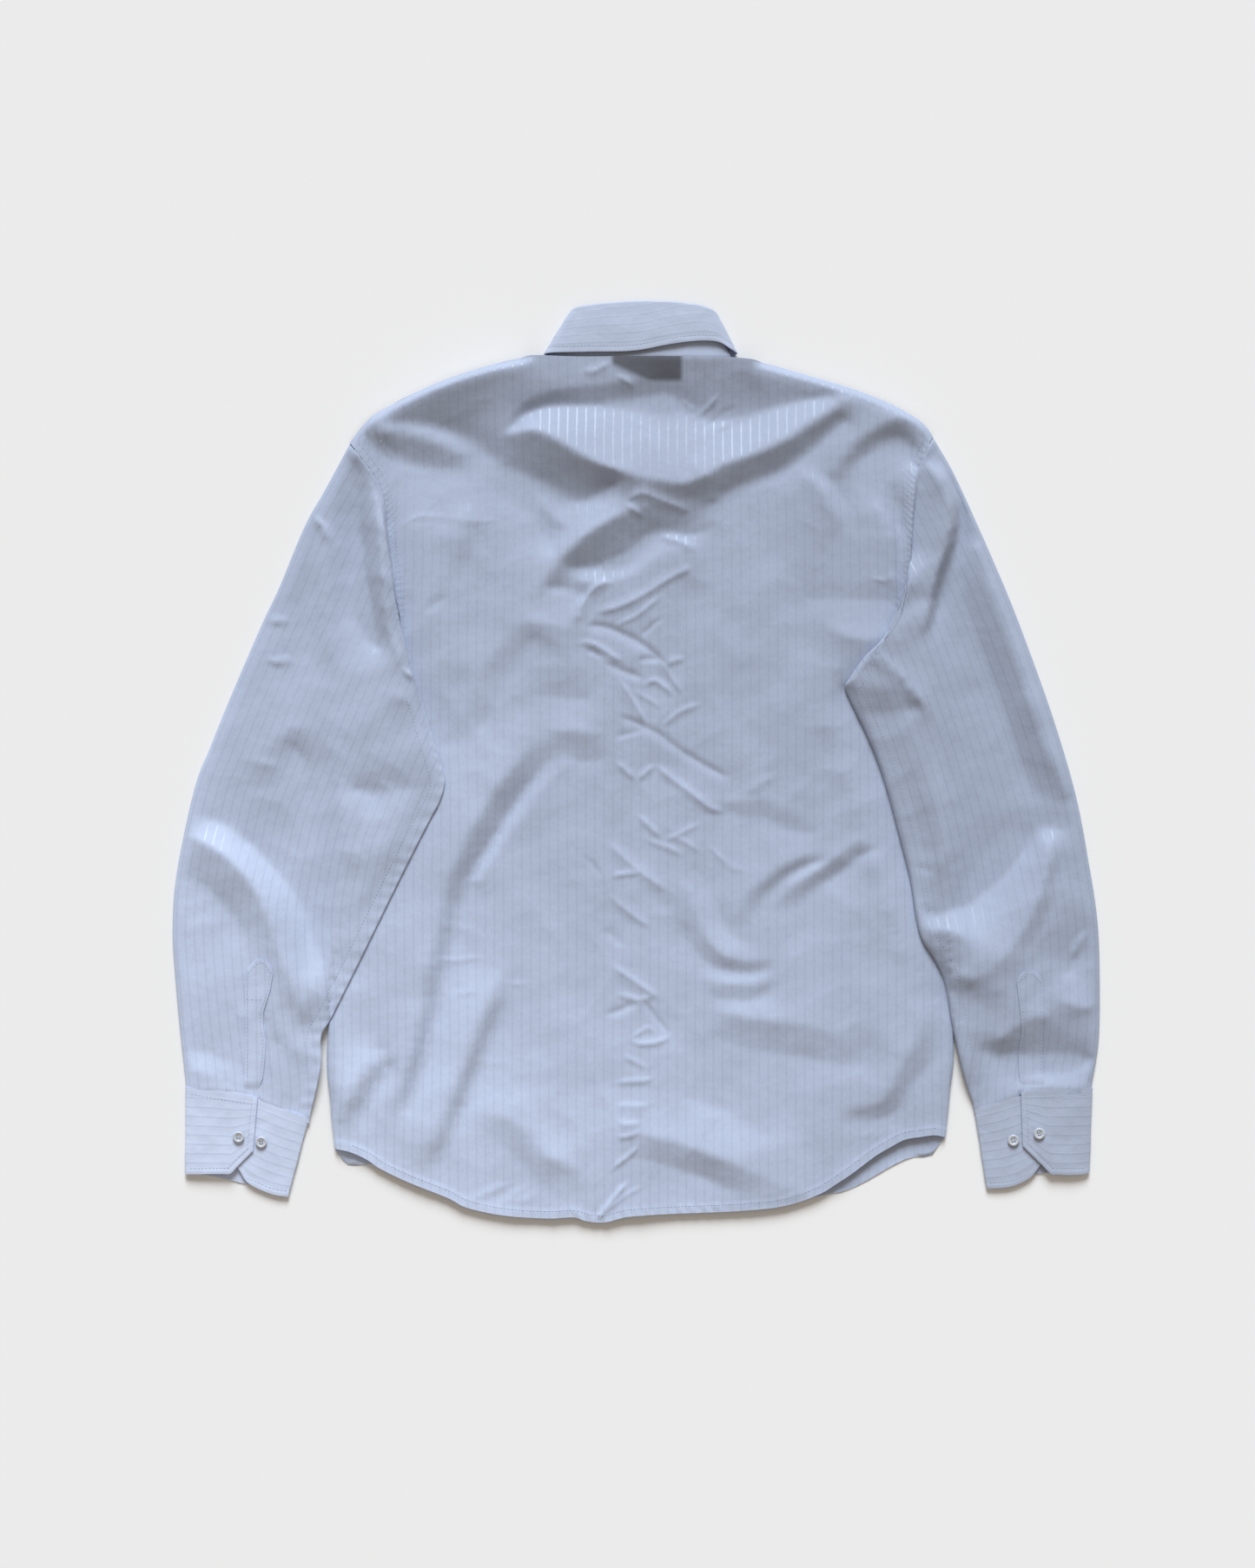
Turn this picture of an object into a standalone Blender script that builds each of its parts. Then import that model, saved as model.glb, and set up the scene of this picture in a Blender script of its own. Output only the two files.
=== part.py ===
"""A long-sleeved button-cuff shirt laid flat, face down, its back towards +Z.

Its pieces are walls of cloth: fronts on the surface, the back over them, sleeves
as flattened tubes that cross the sides, cuffs, collar and buttons. Sizes are in
millimetres until an object is made. +Y points to the collar, z = 0 is the surface.
"""

from collections import namedtuple

import bmesh
import bpy
import numpy as np
from mathutils import Vector
from mathutils.bvhtree import BVHTree

MM = 0.001

# Cloth
WALL = 1.0
STIFF_WALL = 1.4
SEAM_GAP = 0.9
LAYER_GAP = 0.3
EDGE_TOP = 2.5
PILLOW = 9.0
EDGE_ROLL = 22.0

# Fronts, with their overlap
PLACKET = (-23.0, 12.0)
BUTTON_X = -5.5
BUTTON_LIFT = 2.2
COLLAR_LIFT_FROM = 185.0
COLLAR_LIFT_HALF = 95.0

# Buttons
BUTTON_RADIUS = 5.0
BUTTON_THICK = 1.9
BUTTON_SIDES = 18
FRONT_BUTTON_TOP = 190.0
FRONT_BUTTON_PITCH = 84.0
FRONT_BUTTONS = 7
COLLAR_BUTTON_Y = 257.0

# Sleeves, with the height at which each starts to cross the body's side
LEFT_CROSSING, RIGHT_CROSSING = 200.0, 152.0
SLEEVE_THICK = 7.0
SLEEVE_LEAST = 3.4
SLEEVE_EDGE = 3.5
SKIRT_OUT = 42.0
SKIRT_IN = 4.0
OVER_BODY = 1.2
GAUNTLET_GAP = 1.1
ROWS_BACK, COLUMNS_BACK = 40, 31
ROWS_SLEEVE, COLUMNS_SLEEVE = 24, 11

# Outlines, each from its first corner to its last
HEM = [(-264, -339), (-250, -342), (-225, -356), (-165, -382), (-125, -396), (-75, -400),
       (-50, -400), (-35, -403.5), (-10, -399), (30, -396), (90, -393.5), (130, -389),
       (160, -379), (190, -360), (210, -345), (235, -331), (262, -327), (271, -329)]
SHOULDERS = [(-251, 280), (-236, 299), (-220, 310), (-180, 330), (-140, 344.5), (-100, 354),
             (-80, 355), (-60, 354.5), (0, 354.5), (60, 354), (88, 353), (110, 350),
             (150, 339), (190, 327), (225, 313), (250, 298), (260, 286)]
LEFT_SIDE = [(-264, -339), (-268, -300), (-270, -235), (-250, -60), (-232, 90), (-228, 140),
             (-222, 175), (-217, 197), (-218, 212), (-220, 230), (-223, 240), (-231, 254),
             (-241, 267), (-251, 280)]
RIGHT_SIDE = [(271, -329), (275, -290), (278, -235), (266, -60), (252, 60), (245, 110),
              (234.5, 138), (236.6, 155), (239.4, 180), (241, 200), (243, 235), (245, 252),
              (251, 267), (260, 286)]
FRONT_HEM_LEFT = [(-264, -339), (-256, -351), (-248, -354), (-230, -353), (-205, -360),
                  (-165, -376), (-125, -390), (-75, -394), (12, -392)]
FRONT_HEM_RIGHT = [(-23, -394), (30, -390), (90, -389), (130, -386), (165, -380), (187, -375),
                   (205, -366), (220, -357), (240, -347), (257, -346), (264, -338), (271, -329)]
NECKLINE_LEFT = [(-251, 280), (-220, 310), (-180, 330), (-140, 344.5), (-100, 354), (-80, 355),
                 (-74, 330), (-58, 293), (-38, 263), (-15, 247), (12, 243)]
NECKLINE_RIGHT = [(-23, 243), (5, 247), (30, 263), (52, 293), (70, 330), (84, 353), (110, 350),
                  (150, 339), (190, 327), (225, 313), (250, 298), (260, 286)]
LEFT_OUTER = [(-251, 280), (-272, 241), (-291, 207), (-313, 154), (-329, 120), (-357, 55),
              (-374, 13), (-386, -17), (-397, -63), (-405, -109), (-407, -150), (-405, -184),
              (-401, -230), (-395, -286)]
LEFT_INNER = [(-210, 112), (-200, 90), (-190, 62), (-180, 28), (-171, -2), (-167.5, -18),
              (-172, -35), (-180, -50), (-202, -93), (-235, -160), (-266, -222), (-276, -240),
              (-276, -262), (-280, -285), (-287, -313)]
LEFT_ARMHOLE = [(-251, 280), (-241, 267), (-231, 254), (-223, 240), (-220, 229), (-218, 210),
                (-216, 190), (-213, 165), (-211, 140), (-210, 112)]
LEFT_CUFF_SEAM = [(-394.2, -285.7), (-363, -287.4), (-333, -291.4), (-328, -296),
                  (-308, -304.2), (-287, -312.5)]
RIGHT_OUTER = [(260, 286), (279, 253), (302, 203), (325, 150), (344, 101), (367, 36),
               (386, -29), (397, -86), (405, -139), (407, -192), (406, -245), (399.4, -286.5)]
RIGHT_INNER = [(230, 131), (214, 106), (200, 92), (186, 72), (183, 65), (188, 53), (202, 24),
               (212, 0), (221, -28), (230, -62), (240, -102), (245, -135), (250, -155),
               (262, -174), (271, -195), (278, -235), (287, -275), (297, -304)]
RIGHT_ARMHOLE = [(260, 286), (251, 267), (245, 252), (243, 235), (241, 200), (240.6, 172),
                 (240.8, 155), (238.8, 142), (230, 131)]
RIGHT_CUFF_SEAM = [(399, -286.2), (370, -286.7), (338, -287), (334, -292.4), (316, -298.5),
                   (297, -303.5)]

# A ridge of this height along the path, or a trough where it is negative. Its flanks
# reach left and right of the path as it runs. A low crest value gives a sharp ridge,
# and the fades are the shares of the path over which it rises and dies away.
Fold = namedtuple("Fold", "height left right crest fades path")
SOFT_ENDS = (0.35, 0.35)
BACK_FOLDS = [
    Fold(9, 62, 30, 0.12, (0.2, 0.2), [(-126, 286), (-100, 290), (-62, 276), (-22, 256),
         (2, 244), (26, 244), (62, 256), (102, 271), (142, 292), (182, 313)]),
    Fold(5, 24, 14, 0.2, SOFT_ENDS, [(-136, 284), (-108, 305), (-85, 318), (-55, 327),
         (-25, 331), (12, 338)]),
    Fold(8, 14, 62, 0.5, (0.1, 0.25), [(-242, 290), (-200, 313), (-150, 334), (-105, 347),
         (-62, 350)]),
    Fold(6, 14, 52, 0.5, (0.3, 0.1), [(40, 348), (90, 345), (140, 334), (190, 318), (245, 294)]),
    Fold(6.5, 24, 13, 0.15, (0.0, 0.4), [(-240, 301), (-222, 290), (-203, 279), (-180, 271),
         (-156, 270), (-128, 258)]),
    Fold(5, 22, 16, 0.2, (0.3, 0.1), [(160, 228), (176, 250), (196, 273), (213, 290), (230, 304)]),
    Fold(-4, 12, 14, 0.3, (0.2, 0.1), [(228, 300), (238, 290), (243, 278), (240, 262)]),
    Fold(4, 10, 34, 0.3, (0.3, 0.3), [(226, 292), (235, 262), (240, 230), (240, 190), (238, 148)]),
    Fold(8.5, 26, 34, 0.15, (0.2, 0.45), [(22, 243), (-8, 232), (-36, 212), (-56, 182),
         (-82, 148), (-106, 120), (-124, 90), (-140, 54), (-158, 14)]),
    Fold(-5, 12, 20, 0.25, SOFT_ENDS, [(-52, 172), (-30, 176), (-6, 190), (20, 205), (48, 200),
         (70, 216)]),
    Fold(-3.5, 16, 14, 0.2, SOFT_ENDS, [(-10, 156), (-26, 138), (-42, 118), (-62, 104),
         (-92, 102)]),
    Fold(4, 24, 26, 0.5, SOFT_ENDS, [(-86, 62), (-62, 70), (-36, 64), (-16, 46)]),
    Fold(5, 18, 34, 0.2, SOFT_ENDS, [(-66, 30), (-82, 2), (-96, -22), (-112, -44), (-130, -66),
         (-150, -96)]),
    Fold(4.5, 30, 40, 0.4, (0.25, 0.25), [(-138, -60), (-160, -112), (-174, -168), (-190, -228),
         (-212, -310)]),
    Fold(3.5, 26, 34, 0.4, SOFT_ENDS, [(-118, -190), (-138, -246), (-158, -306), (-188, -372)]),
    Fold(4, 22, 26, 0.4, SOFT_ENDS, [(-194, -206), (-226, -252), (-246, -292), (-258, -332)]),
    Fold(4.5, 34, 26, 0.3, SOFT_ENDS, [(-150, -290), (-112, -308), (-82, -330), (-56, -362)]),
    Fold(5, 46, 26, 0.3, SOFT_ENDS, [(-30, -296), (16, -318), (56, -334), (96, -354),
         (140, -376)]),
    Fold(4.5, 12, 24, 0.25, SOFT_ENDS, [(150, -70), (132, -86), (112, -104), (100, -120),
         (90, -136), (80, -156)]),
    Fold(4.5, 13, 26, 0.25, SOFT_ENDS, [(206, -58), (186, -73), (174, -87), (160, -101),
         (142, -112), (116, -130)]),
    Fold(4.5, 22, 14, 0.2, SOFT_ENDS, [(40, -80), (52, -106), (58, -130), (66, -150),
         (80, -167), (96, -173), (116, -166)]),
    Fold(4.5, 24, 18, 0.3, SOFT_ENDS, [(58, -218), (92, -226), (125, -232), (160, -239),
         (206, -248)]),
    Fold(6, 34, 30, 0.5, SOFT_ENDS, [(236, -120), (243, -170), (248, -212), (247, -245),
         (238, -284)]),
    Fold(6, 36, 44, 0.5, (0.3, 0.3), [(152, 108), (166, 56), (182, 10), (198, -32), (212, -74),
         (228, -126)]),
    Fold(4, 12, 26, 0.3, SOFT_ENDS, [(242, -246), (230, -278), (217, -296), (202, -302),
         (180, -305)]),
    Fold(3.5, 16, 20, 0.3, SOFT_ENDS, [(150, 168), (180, 160), (205, 157), (228, 162)]),
    Fold(-3, 26, 26, 0.5, SOFT_ENDS, [(60, -28), (95, -40), (128, -48), (168, -62)]),
    Fold(3, 36, 36, 0.5, SOFT_ENDS, [(-196, 236), (-178, 196), (-168, 156), (-160, 116)]),
    Fold(-3, 26, 30, 0.5, SOFT_ENDS, [(76, 226), (78, 190), (70, 150), (62, 110)]),
    Fold(3, 34, 34, 0.5, SOFT_ENDS, [(120, 224), (126, 170), (122, 116), (112, 56)]),
]
LEFT_SLEEVE_FOLDS = [
    Fold(-4, 20, 20, 0.35, (0.05, 0.4), [(-250, 276), (-240, 250), (-239, 212), (-237, 178),
         (-231, 148), (-222, 118), (-208, 92)]),
    Fold(2, 14, 14, 0.4, SOFT_ENDS, [(-258, 245), (-266, 205), (-272, 165), (-280, 125)]),
    Fold(3.5, 12, 15, 0.25, SOFT_ENDS, [(-326, 2), (-313, 19), (-301, 29), (-290, 31),
         (-281, 24), (-275, 8), (-272, -16)]),
    Fold(-3, 26, 30, 0.5, SOFT_ENDS, [(-240, 78), (-222, 38), (-205, 6), (-192, -22)]),
    Fold(-2.5, 22, 18, 0.5, SOFT_ENDS, [(-282, 0), (-281, -40), (-280, -80)]),
    Fold(8.5, 44, 26, 0.2, (0.25, 0.2), [(-398, -56), (-366, -71), (-345, -88), (-329, -110),
         (-320, -134), (-313, -158), (-302, -188), (-288, -215), (-274, -240)]),
    Fold(2.5, 24, 22, 0.5, SOFT_ENDS, [(-396, -150), (-372, -140), (-350, -148)]),
    Fold(-2, 18, 20, 0.5, SOFT_ENDS, [(-308, -226), (-300, -258), (-292, -290)]),
]
RIGHT_SLEEVE_FOLDS = [
    Fold(7.5, 8, 26, 0.2, (0.25, 0.25), [(248, 266), (258, 250), (269, 238), (275, 222),
         (276, 206), (272, 190), (266, 168), (262, 144), (254, 112)]),
    Fold(-4, 14, 28, 0.35, (0.1, 0.25), [(270, 262), (282, 236), (292, 204), (301, 170),
         (312, 138), (321, 108), (333, 78), (343, 46), (353, 20), (366, -8), (380, -40)]),
    Fold(3, 9, 10, 0.25, (0.15, 0.4), [(186, 64), (205, 58), (228, 57), (245, 60)]),
    Fold(9, 46, 16, 0.15, (0.15, 0.3), [(298, -196), (318, -179), (331, -163), (345, -144),
         (355, -124), (361, -102), (364, -84), (366, -66)]),
    Fold(4.5, 13, 13, 0.2, (0.3, 0.1), [(334, -92), (350, -71), (366, -65), (392, -69)]),
    Fold(4, 18, 22, 0.3, (0.3, 0.1), [(316, -208), (345, -209), (372, -206), (404, -216)]),
    Fold(-4, 30, 22, 0.35, (0.3, 0.05), [(300, -246), (330, -256), (360, -257), (406, -253)]),
]

# Stations round a cuff, from the overlap's end over the top, under and back inside it
Station = namedtuple("Station", "top_x top_y low_x low_y z")
LEFT_CUFF = [
    Station(-331.7, -295, -335.6, -341, 5.6), Station(-352, -290, -355.3, -360.6, 5.7),
    Station(-375, -288, -376, -361, 5.4), Station(-391, -286.8, -391.5, -361.3, 4.7),
    Station(-394.4, -286.6, -394.8, -361.4, 2.9), Station(-391, -286.8, -391.5, -361.3, 1.2),
    Station(-375, -288, -376, -362.5, 0.7), Station(-331, -297, -335, -372, 0.7),
    Station(-300, -309.3, -312, -379.5, 0.7), Station(-291, -312, -307.5, -380.5, 1.1),
    Station(-287.5, -313.6, -305.6, -381, 2.3), Station(-291, -312.2, -307.5, -380.8, 3.3),
    Station(-310, -305, -321, -378.2, 3.7), Station(-330.2, -297.2, -340, -369, 3.7),
    Station(-352, -293, -349, -356, 3.7), Station(-366, -291.5, -362, -340, 3.5),
]
RIGHT_CUFF = [
    Station(337, -289.6, 338.6, -336.5, 5.6), Station(358, -287.8, 363, -360.6, 5.7),
    Station(380, -287.4, 380, -361.8, 5.4), Station(395.5, -287.2, 393.5, -360.8, 4.7),
    Station(399.2, -287.1, 397, -359, 2.9), Station(395.5, -287.2, 393.5, -360.8, 1.2),
    Station(380, -287.4, 379, -360, 0.7), Station(340, -294, 345, -362, 0.7),
    Station(310, -302, 318, -371, 0.7), Station(300.5, -304.2, 311, -373, 1.1),
    Station(297, -305, 307.6, -373.4, 2.3), Station(300.5, -304.2, 311, -373.8, 3.3),
    Station(316, -300.2, 328.7, -372, 3.7), Station(335, -294.4, 343.9, -365.2, 3.7),
    Station(352, -291, 353.8, -353.8, 3.7), Station(366, -289.6, 362, -338, 3.5),
]
CUFF_BUTTONS = [("button_cuff_left_worn", -348, -328.6, 6.9),
                ("button_cuff_left_spare", -328.4, -333.3, 4.8),
                ("button_cuff_right_worn", 352.8, -325.5, 6.9),
                ("button_cuff_right_spare", 330.4, -331.7, 4.8)]

# Gauntlet strips on the sleeves: each row's place along Y and its two sides in X
Row = namedtuple("Row", "y left right")
LEFT_GAUNTLET = [Row(-172, -331, -324), Row(-178, -338, -319), Row(-184, -341, -317),
                 Row(-199, -342, -319.6), Row(-210, -342, -323), Row(-219, -342, -326),
                 Row(-232, -342, -326.2), Row(-245, -342, -324.2), Row(-260, -342.5, -325),
                 Row(-275, -343, -326.6), Row(-288.5, -344, -330.6)]
RIGHT_GAUNTLET = [Row(-182, 340, 347), Row(-186, 334.5, 352), Row(-192, 332, 355),
                  Row(-207, 334, 355.5), Row(-222, 335.8, 356), Row(-237, 337, 356),
                  Row(-247, 335.8, 356), Row(-257, 334.9, 356.5), Row(-272, 335.6, 357),
                  Row(-285.5, 337, 358)]

# Stations round the collar from its left end at the centre front to its right end: the
# roll line, then the leaf's edge or the stand's seam, each with its own height
Rib = namedtuple("Rib", "roll_x roll_y roll_z edge_x edge_y edge_z")
LEAF = [
    Rib(-9, 271, 0.7, -58, 214, 0.7), Rib(-20, 298, 0.7, -67, 246, 0.7),
    Rib(-34, 332, 0.7, -76, 290, 0.7), Rib(-46, 362, 0.7, -79, 326, 0.7),
    Rib(-53, 386, 0.7, -78.5, 352, 0.7), Rib(-55.8, 392.5, 1.2, -79.5, 358.6, 1.1),
    Rib(-57.2, 394.5, 3.4, -80.6, 359, 4.0), Rib(-54.5, 396.6, 5.8, -78, 359.4, 8.3),
    Rib(-47, 398.4, 6.3, -70, 360.4, 9.9), Rib(-25, 401, 6.5, -40, 360.2, 10.6),
    Rib(6, 402.6, 6.6, -2, 359.6, 10.8), Rib(30, 402, 6.5, 28, 365, 10.6),
    Rib(51, 400, 6.3, 52, 368.2, 10.2), Rib(63, 396.6, 6.0, 71, 367.6, 9.4),
    Rib(68.6, 394, 5.2, 82, 361.6, 8.0), Rib(71.4, 391, 3.4, 88, 357.6, 4.0),
    Rib(69.6, 389, 1.2, 87, 357, 1.1), Rib(66, 382, 0.7, 86, 351, 0.7),
    Rib(55, 360, 0.7, 84, 326, 0.7), Rib(40, 330, 0.7, 76, 290, 0.7),
    Rib(20, 298, 0.7, 64, 246, 0.7), Rib(-1, 271, 0.7, 50, 214, 0.7),
]
STAND = [
    Rib(8, 272, 2.7, 12, 243.5, 2.7), Rib(-10, 274, 2.7, -15, 247.6, 2.7),
    Rib(-21, 301, 2.7, -37, 264, 2.7), Rib(-33, 333, 2.7, -57, 294, 2.7),
    Rib(-44, 362, 2.7, -71, 331.4, 2.7), Rib(-50, 383, 2.7, -76, 350, 2.8),
    Rib(-52.4, 388.5, 3.2, -76.6, 356.4, 4.0), Rib(-50, 392, 4.4, -71, 355.6, 5.6),
    Rib(-40, 395.6, 4.7, -58, 355.2, 7.2), Rib(-18, 398, 4.8, -30, 355.1, 8.0),
    Rib(6, 399.6, 4.8, 0, 355.1, 8.2), Rib(32, 399, 4.8, 32, 355, 8.0),
    Rib(50, 397, 4.7, 60, 354.8, 7.4), Rib(61, 393, 4.4, 78, 354.6, 5.8),
    Rib(65, 389.5, 3.2, 82.6, 354.6, 4.2), Rib(61, 382, 2.7, 81, 350.5, 2.8),
    Rib(50, 360, 2.7, 68.6, 331, 2.7), Rib(36, 330, 2.7, 51, 294.4, 2.7),
    Rib(18, 300, 2.9, 29, 264.4, 2.9), Rib(6, 276, 4.0, 6, 248, 4.0),
    Rib(-20, 272, 4.1, -23, 243.5, 4.1),
]

LABEL_X, LABEL_Y = (-22.0, 41.0), (333.5, 352.5)
LABEL_WALL = 0.6
LABEL_GAP = 0.8

CLOTH = (0.47, 0.54, 0.68)
CLOTH_SHADE = (0.42, 0.49, 0.62)
BUTTON_WHITE = (0.70, 0.72, 0.74)
LABEL_DARK = (0.10, 0.10, 0.11)


def curve(points, steps=6):
    """Points along a smooth curve through the given ones."""
    p = np.array(points, float)
    p = np.vstack([2 * p[0] - p[1], p, 2 * p[-1] - p[-2]])
    out = []
    for a, b, c, d in zip(p, p[1:], p[2:], p[3:]):
        for t in np.arange(steps) / steps:
            bend = (2 * a - 5 * b + 4 * c - d) * t * t + (3 * b - a - 3 * c + d) * t ** 3
            out.append(0.5 * (2 * b + (c - a) * t + bend))
    out.append(p[-2])
    return np.array(out)


def smooth(t):
    t = np.clip(t, 0, 1)
    return t * t * (3 - 2 * t)


def round_edge(distance, radius):
    """0 at an edge, rising as a quarter circle to 1."""
    t = 1 - np.clip(distance / radius, 0, 1)
    return np.sqrt(1 - t * t)


def nearest(x, y, line):
    """Distance to a line, side (+1 on its left) and place along it from 0 to 1."""
    best, side, place = np.full(x.shape, 1e9), np.ones(x.shape), np.zeros(x.shape)
    lengths = np.hypot(*np.diff(line, axis=0).T)
    starts = np.concatenate([[0], np.cumsum(lengths)])
    for a, b, length, start in zip(line, line[1:], lengths, starts):
        ahead = (b - a) / length
        along = np.clip((x - a[0]) * ahead[0] + (y - a[1]) * ahead[1], 0, length)
        off_x, off_y = x - a[0] - along * ahead[0], y - a[1] - along * ahead[1]
        distance = np.hypot(off_x, off_y)
        near = distance < best
        best = np.where(near, distance, best)
        turn = np.where(ahead[0] * off_y - ahead[1] * off_x >= 0, 1.0, -1.0)
        side = np.where(near, turn, side)
        place = np.where(near, (start + along) / starts[-1], place)
    return best, side, place


def fold_height(x, y, fold):
    distance, side, place = nearest(x, y, curve(fold.path, 4))
    rise, fall = fold.fades
    swell = smooth(place / max(rise, 1e-6)) * smooth((1 - place) / max(fall, 1e-6))
    width = np.where(side > 0, fold.left, fold.right) * (0.5 + 0.5 * swell)
    q, r = np.clip(distance / width, 0, 1), fold.crest
    q = (np.sqrt(q * q + r * r) - r) / (np.sqrt(1 + r * r) - r)
    return fold.height * swell * (1 - q) ** 1.5


def at(curve_points, share):
    """The point at each share of a curve's length."""
    lengths = np.concatenate([[0], np.cumsum(np.hypot(*np.diff(curve_points, axis=0).T))])
    places = share * lengths[-1]
    return np.stack([np.interp(places, lengths, curve_points[:, i]) for i in (0, 1)], axis=-1)


def height_across(line, share):
    """Y of a line at each share of its span in X."""
    places = line[0][0] + share * (line[-1][0] - line[0][0])
    return np.interp(places, line[:, 0], line[:, 1])


ROLLED = [curve(LEFT_SIDE[:8]), curve(SHOULDERS[:7]), curve(RIGHT_SIDE[:7]),
          curve(SHOULDERS[10:])]
HEM_CURVE = curve(HEM)
BODY_LOOP = np.vstack([curve(HEM), curve(RIGHT_SIDE)[1:], curve(SHOULDERS)[::-1][1:],
                       curve(LEFT_SIDE)[::-1][1:-1]])
BODY_LOOP = np.vstack([BODY_LOOP, BODY_LOOP[:1]])


def collar_lift(x, y):
    """Where the fronts lie over the collar leaf, from 0 to 1."""
    return smooth((y - COLLAR_LIFT_FROM) / 25) * (1 - smooth((np.abs(x) - COLLAR_LIFT_HALF) / 40))


def front_left_bottom(x, y):
    over_buttons = smooth((x + 55) / 32)
    return BUTTON_LIFT * (1 - (1 - over_buttons) * (1 - collar_lift(x, y)))


def front_right_bottom(x, y):
    over_left = BUTTON_LIFT + WALL + LAYER_GAP
    return np.maximum(over_left * (1 - smooth((x - 22) / 40)), BUTTON_LIFT * collar_lift(x, y))


def fronts_top(x, y):
    left = np.where(x < PLACKET[1] + 6, front_left_bottom(x, y), 0)
    right = np.where(x > PLACKET[0] - 6, front_right_bottom(x, y), 0)
    return np.maximum(left, right) + WALL


def body_top(x, y):
    """Height of the back's outer face."""
    edge = np.min([nearest(x, y, line)[0] for line in ROLLED], axis=0)
    hem = smooth(nearest(x, y, HEM_CURVE)[0] / 60)
    folds = sum(fold_height(x, y, fold) for fold in BACK_FOLDS)
    loft = round_edge(edge, EDGE_ROLL) * (0.5 + 0.5 * hem)
    height = EDGE_TOP + (PILLOW - EDGE_TOP) * loft + folds * smooth(edge / 18) * (0.4 + 0.6 * hem)
    least = fronts_top(x, y) + WALL + LAYER_GAP + 0.2 + 0.4 * smooth(edge / 6)
    return np.maximum(height, least)


def sleeve_bottom(x, y, seam_y):
    """Height of a sleeve's lower face: on the surface, or lifted over the body."""
    distance, side, _ = nearest(x, y, BODY_LOOP)
    skirt = smooth((side * distance + SKIRT_OUT) / (SKIRT_OUT + SKIRT_IN))
    crossing = smooth((seam_y + 40 - y) / 40)
    return skirt * crossing * (np.maximum(body_top(x, y), PILLOW) + OVER_BODY)


def sleeve_top(x, y, seam_y, folds):
    bottom = sleeve_bottom(x, y, seam_y)
    height = bottom + SLEEVE_THICK + sum(fold_height(x, y, fold) for fold in folds)
    return np.maximum(height, bottom + SLEEVE_LEAST)


def material(name, colour, roughness):
    made = bpy.data.materials.new(name)
    made.use_nodes = True
    shader = made.node_tree.nodes["Principled BSDF"]
    shader.inputs["Base Color"].default_value = (*colour, 1)
    shader.inputs["Roughness"].default_value = roughness
    made.diffuse_color = (*colour, 1)
    return made


def add_object(name, mesh, surface, parts, wall=0.0, offset=-1.0):
    """An object for one piece, with the cloth's thickness where it has any."""
    mesh.materials.append(surface)
    made = bpy.data.objects.new(name, mesh)
    parts.objects.link(made)
    if wall:
        solid = made.modifiers.new("cloth", "SOLIDIFY")
        solid.thickness = wall * MM
        solid.offset = offset
    mesh.shade_smooth()
    return made


def sheet_mesh(name, points):
    """A grid surface through points[row][column], its left-to-right rows going up."""
    rows, columns = points.shape[:2]
    grid = bmesh.new()
    bmesh.ops.create_grid(grid, x_segments=columns - 1, y_segments=rows - 1, size=1)
    grid.verts.ensure_lookup_table()
    for vertex, place in zip(grid.verts, points.reshape(-1, 3)):
        vertex.co = place * MM
    mesh = bpy.data.meshes.new(name)
    grid.to_mesh(mesh)
    grid.free()
    return mesh


def tube_mesh(name, rings):
    """A tube through rings[station][point], open at both ends."""
    tube = bmesh.new()
    made = [[tube.verts.new(place * MM) for place in ring] for ring in rings]
    count = len(made[0])
    for first, second in zip(made, made[1:]):
        for i in range(count):
            j = (i + 1) % count
            tube.faces.new((first[i], first[j], second[j], second[i]))
    mesh = bpy.data.meshes.new(name)
    tube.to_mesh(mesh)
    tube.free()
    return mesh


def shares(count, width, edge_steps):
    """Places across a panel, with extra ones these millimetres inside each edge."""
    edges = np.array(edge_steps) / width
    inner = np.linspace(edges[-1], 1 - edges[-1], count)
    return np.concatenate([edges[:-1], inner, 1 - edges[:-1][::-1]])


def panel_plan(hem, top, left, right, u, v):
    """X and Y of a panel's grid between its four edges."""
    left_y = left[0][1] + v * (left[-1][1] - left[0][1])
    right_y = right[0][1] + v * (right[-1][1] - right[0][1])
    start = np.interp(left_y, left[:, 1], left[:, 0])[:, None]
    end = np.interp(right_y, right[:, 1], right[:, 0])[:, None]
    low, high = height_across(hem, u), height_across(top, u)
    x = start + (end - start) * u[None, :]
    return x, low[None, :] + (high - low)[None, :] * v[:, None]


def patch_plan(first, last, outer, inner, u, v):
    """X and Y of a patch between two ends and two sides."""
    a, b = at(first, u)[None], at(last, u)[None]
    c, d = at(outer, v)[:, None], at(inner, v)[:, None]
    u, v = u[None, :, None], v[:, None, None]
    corners = ((1 - u) * (1 - v) * first[0] + u * (1 - v) * first[-1]
               + (1 - u) * v * last[0] + u * v * last[-1])
    plan = (1 - v) * a + v * b + (1 - u) * c + u * d - corners
    return plan[..., 0], plan[..., 1]


def build_back(cloth, parts):
    width = HEM[-1][0] - HEM[0][0]
    u = shares(COLUMNS_BACK, width, (0, 2.5, 8, 16))
    v = np.linspace(0, 1, ROWS_BACK)
    x, y = panel_plan(HEM_CURVE, curve(SHOULDERS), curve(LEFT_SIDE), curve(RIGHT_SIDE), u, v)
    points = np.dstack([x, y, body_top(x, y)])
    return add_object("back", sheet_mesh("back", points), cloth, parts, WALL)


def build_front(name, hem, top, left, right, bottom, u, cloth, parts):
    v = np.concatenate([[0, 0.02], np.linspace(0.08, 0.74, 7), np.linspace(0.78, 1, 12)])
    x, y = panel_plan(curve(hem), curve(top, 3), left, right, u, v)
    points = np.dstack([x, y, bottom(x, y)])
    return add_object(name, sheet_mesh(name, points), cloth, parts, WALL, offset=1.0)


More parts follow.
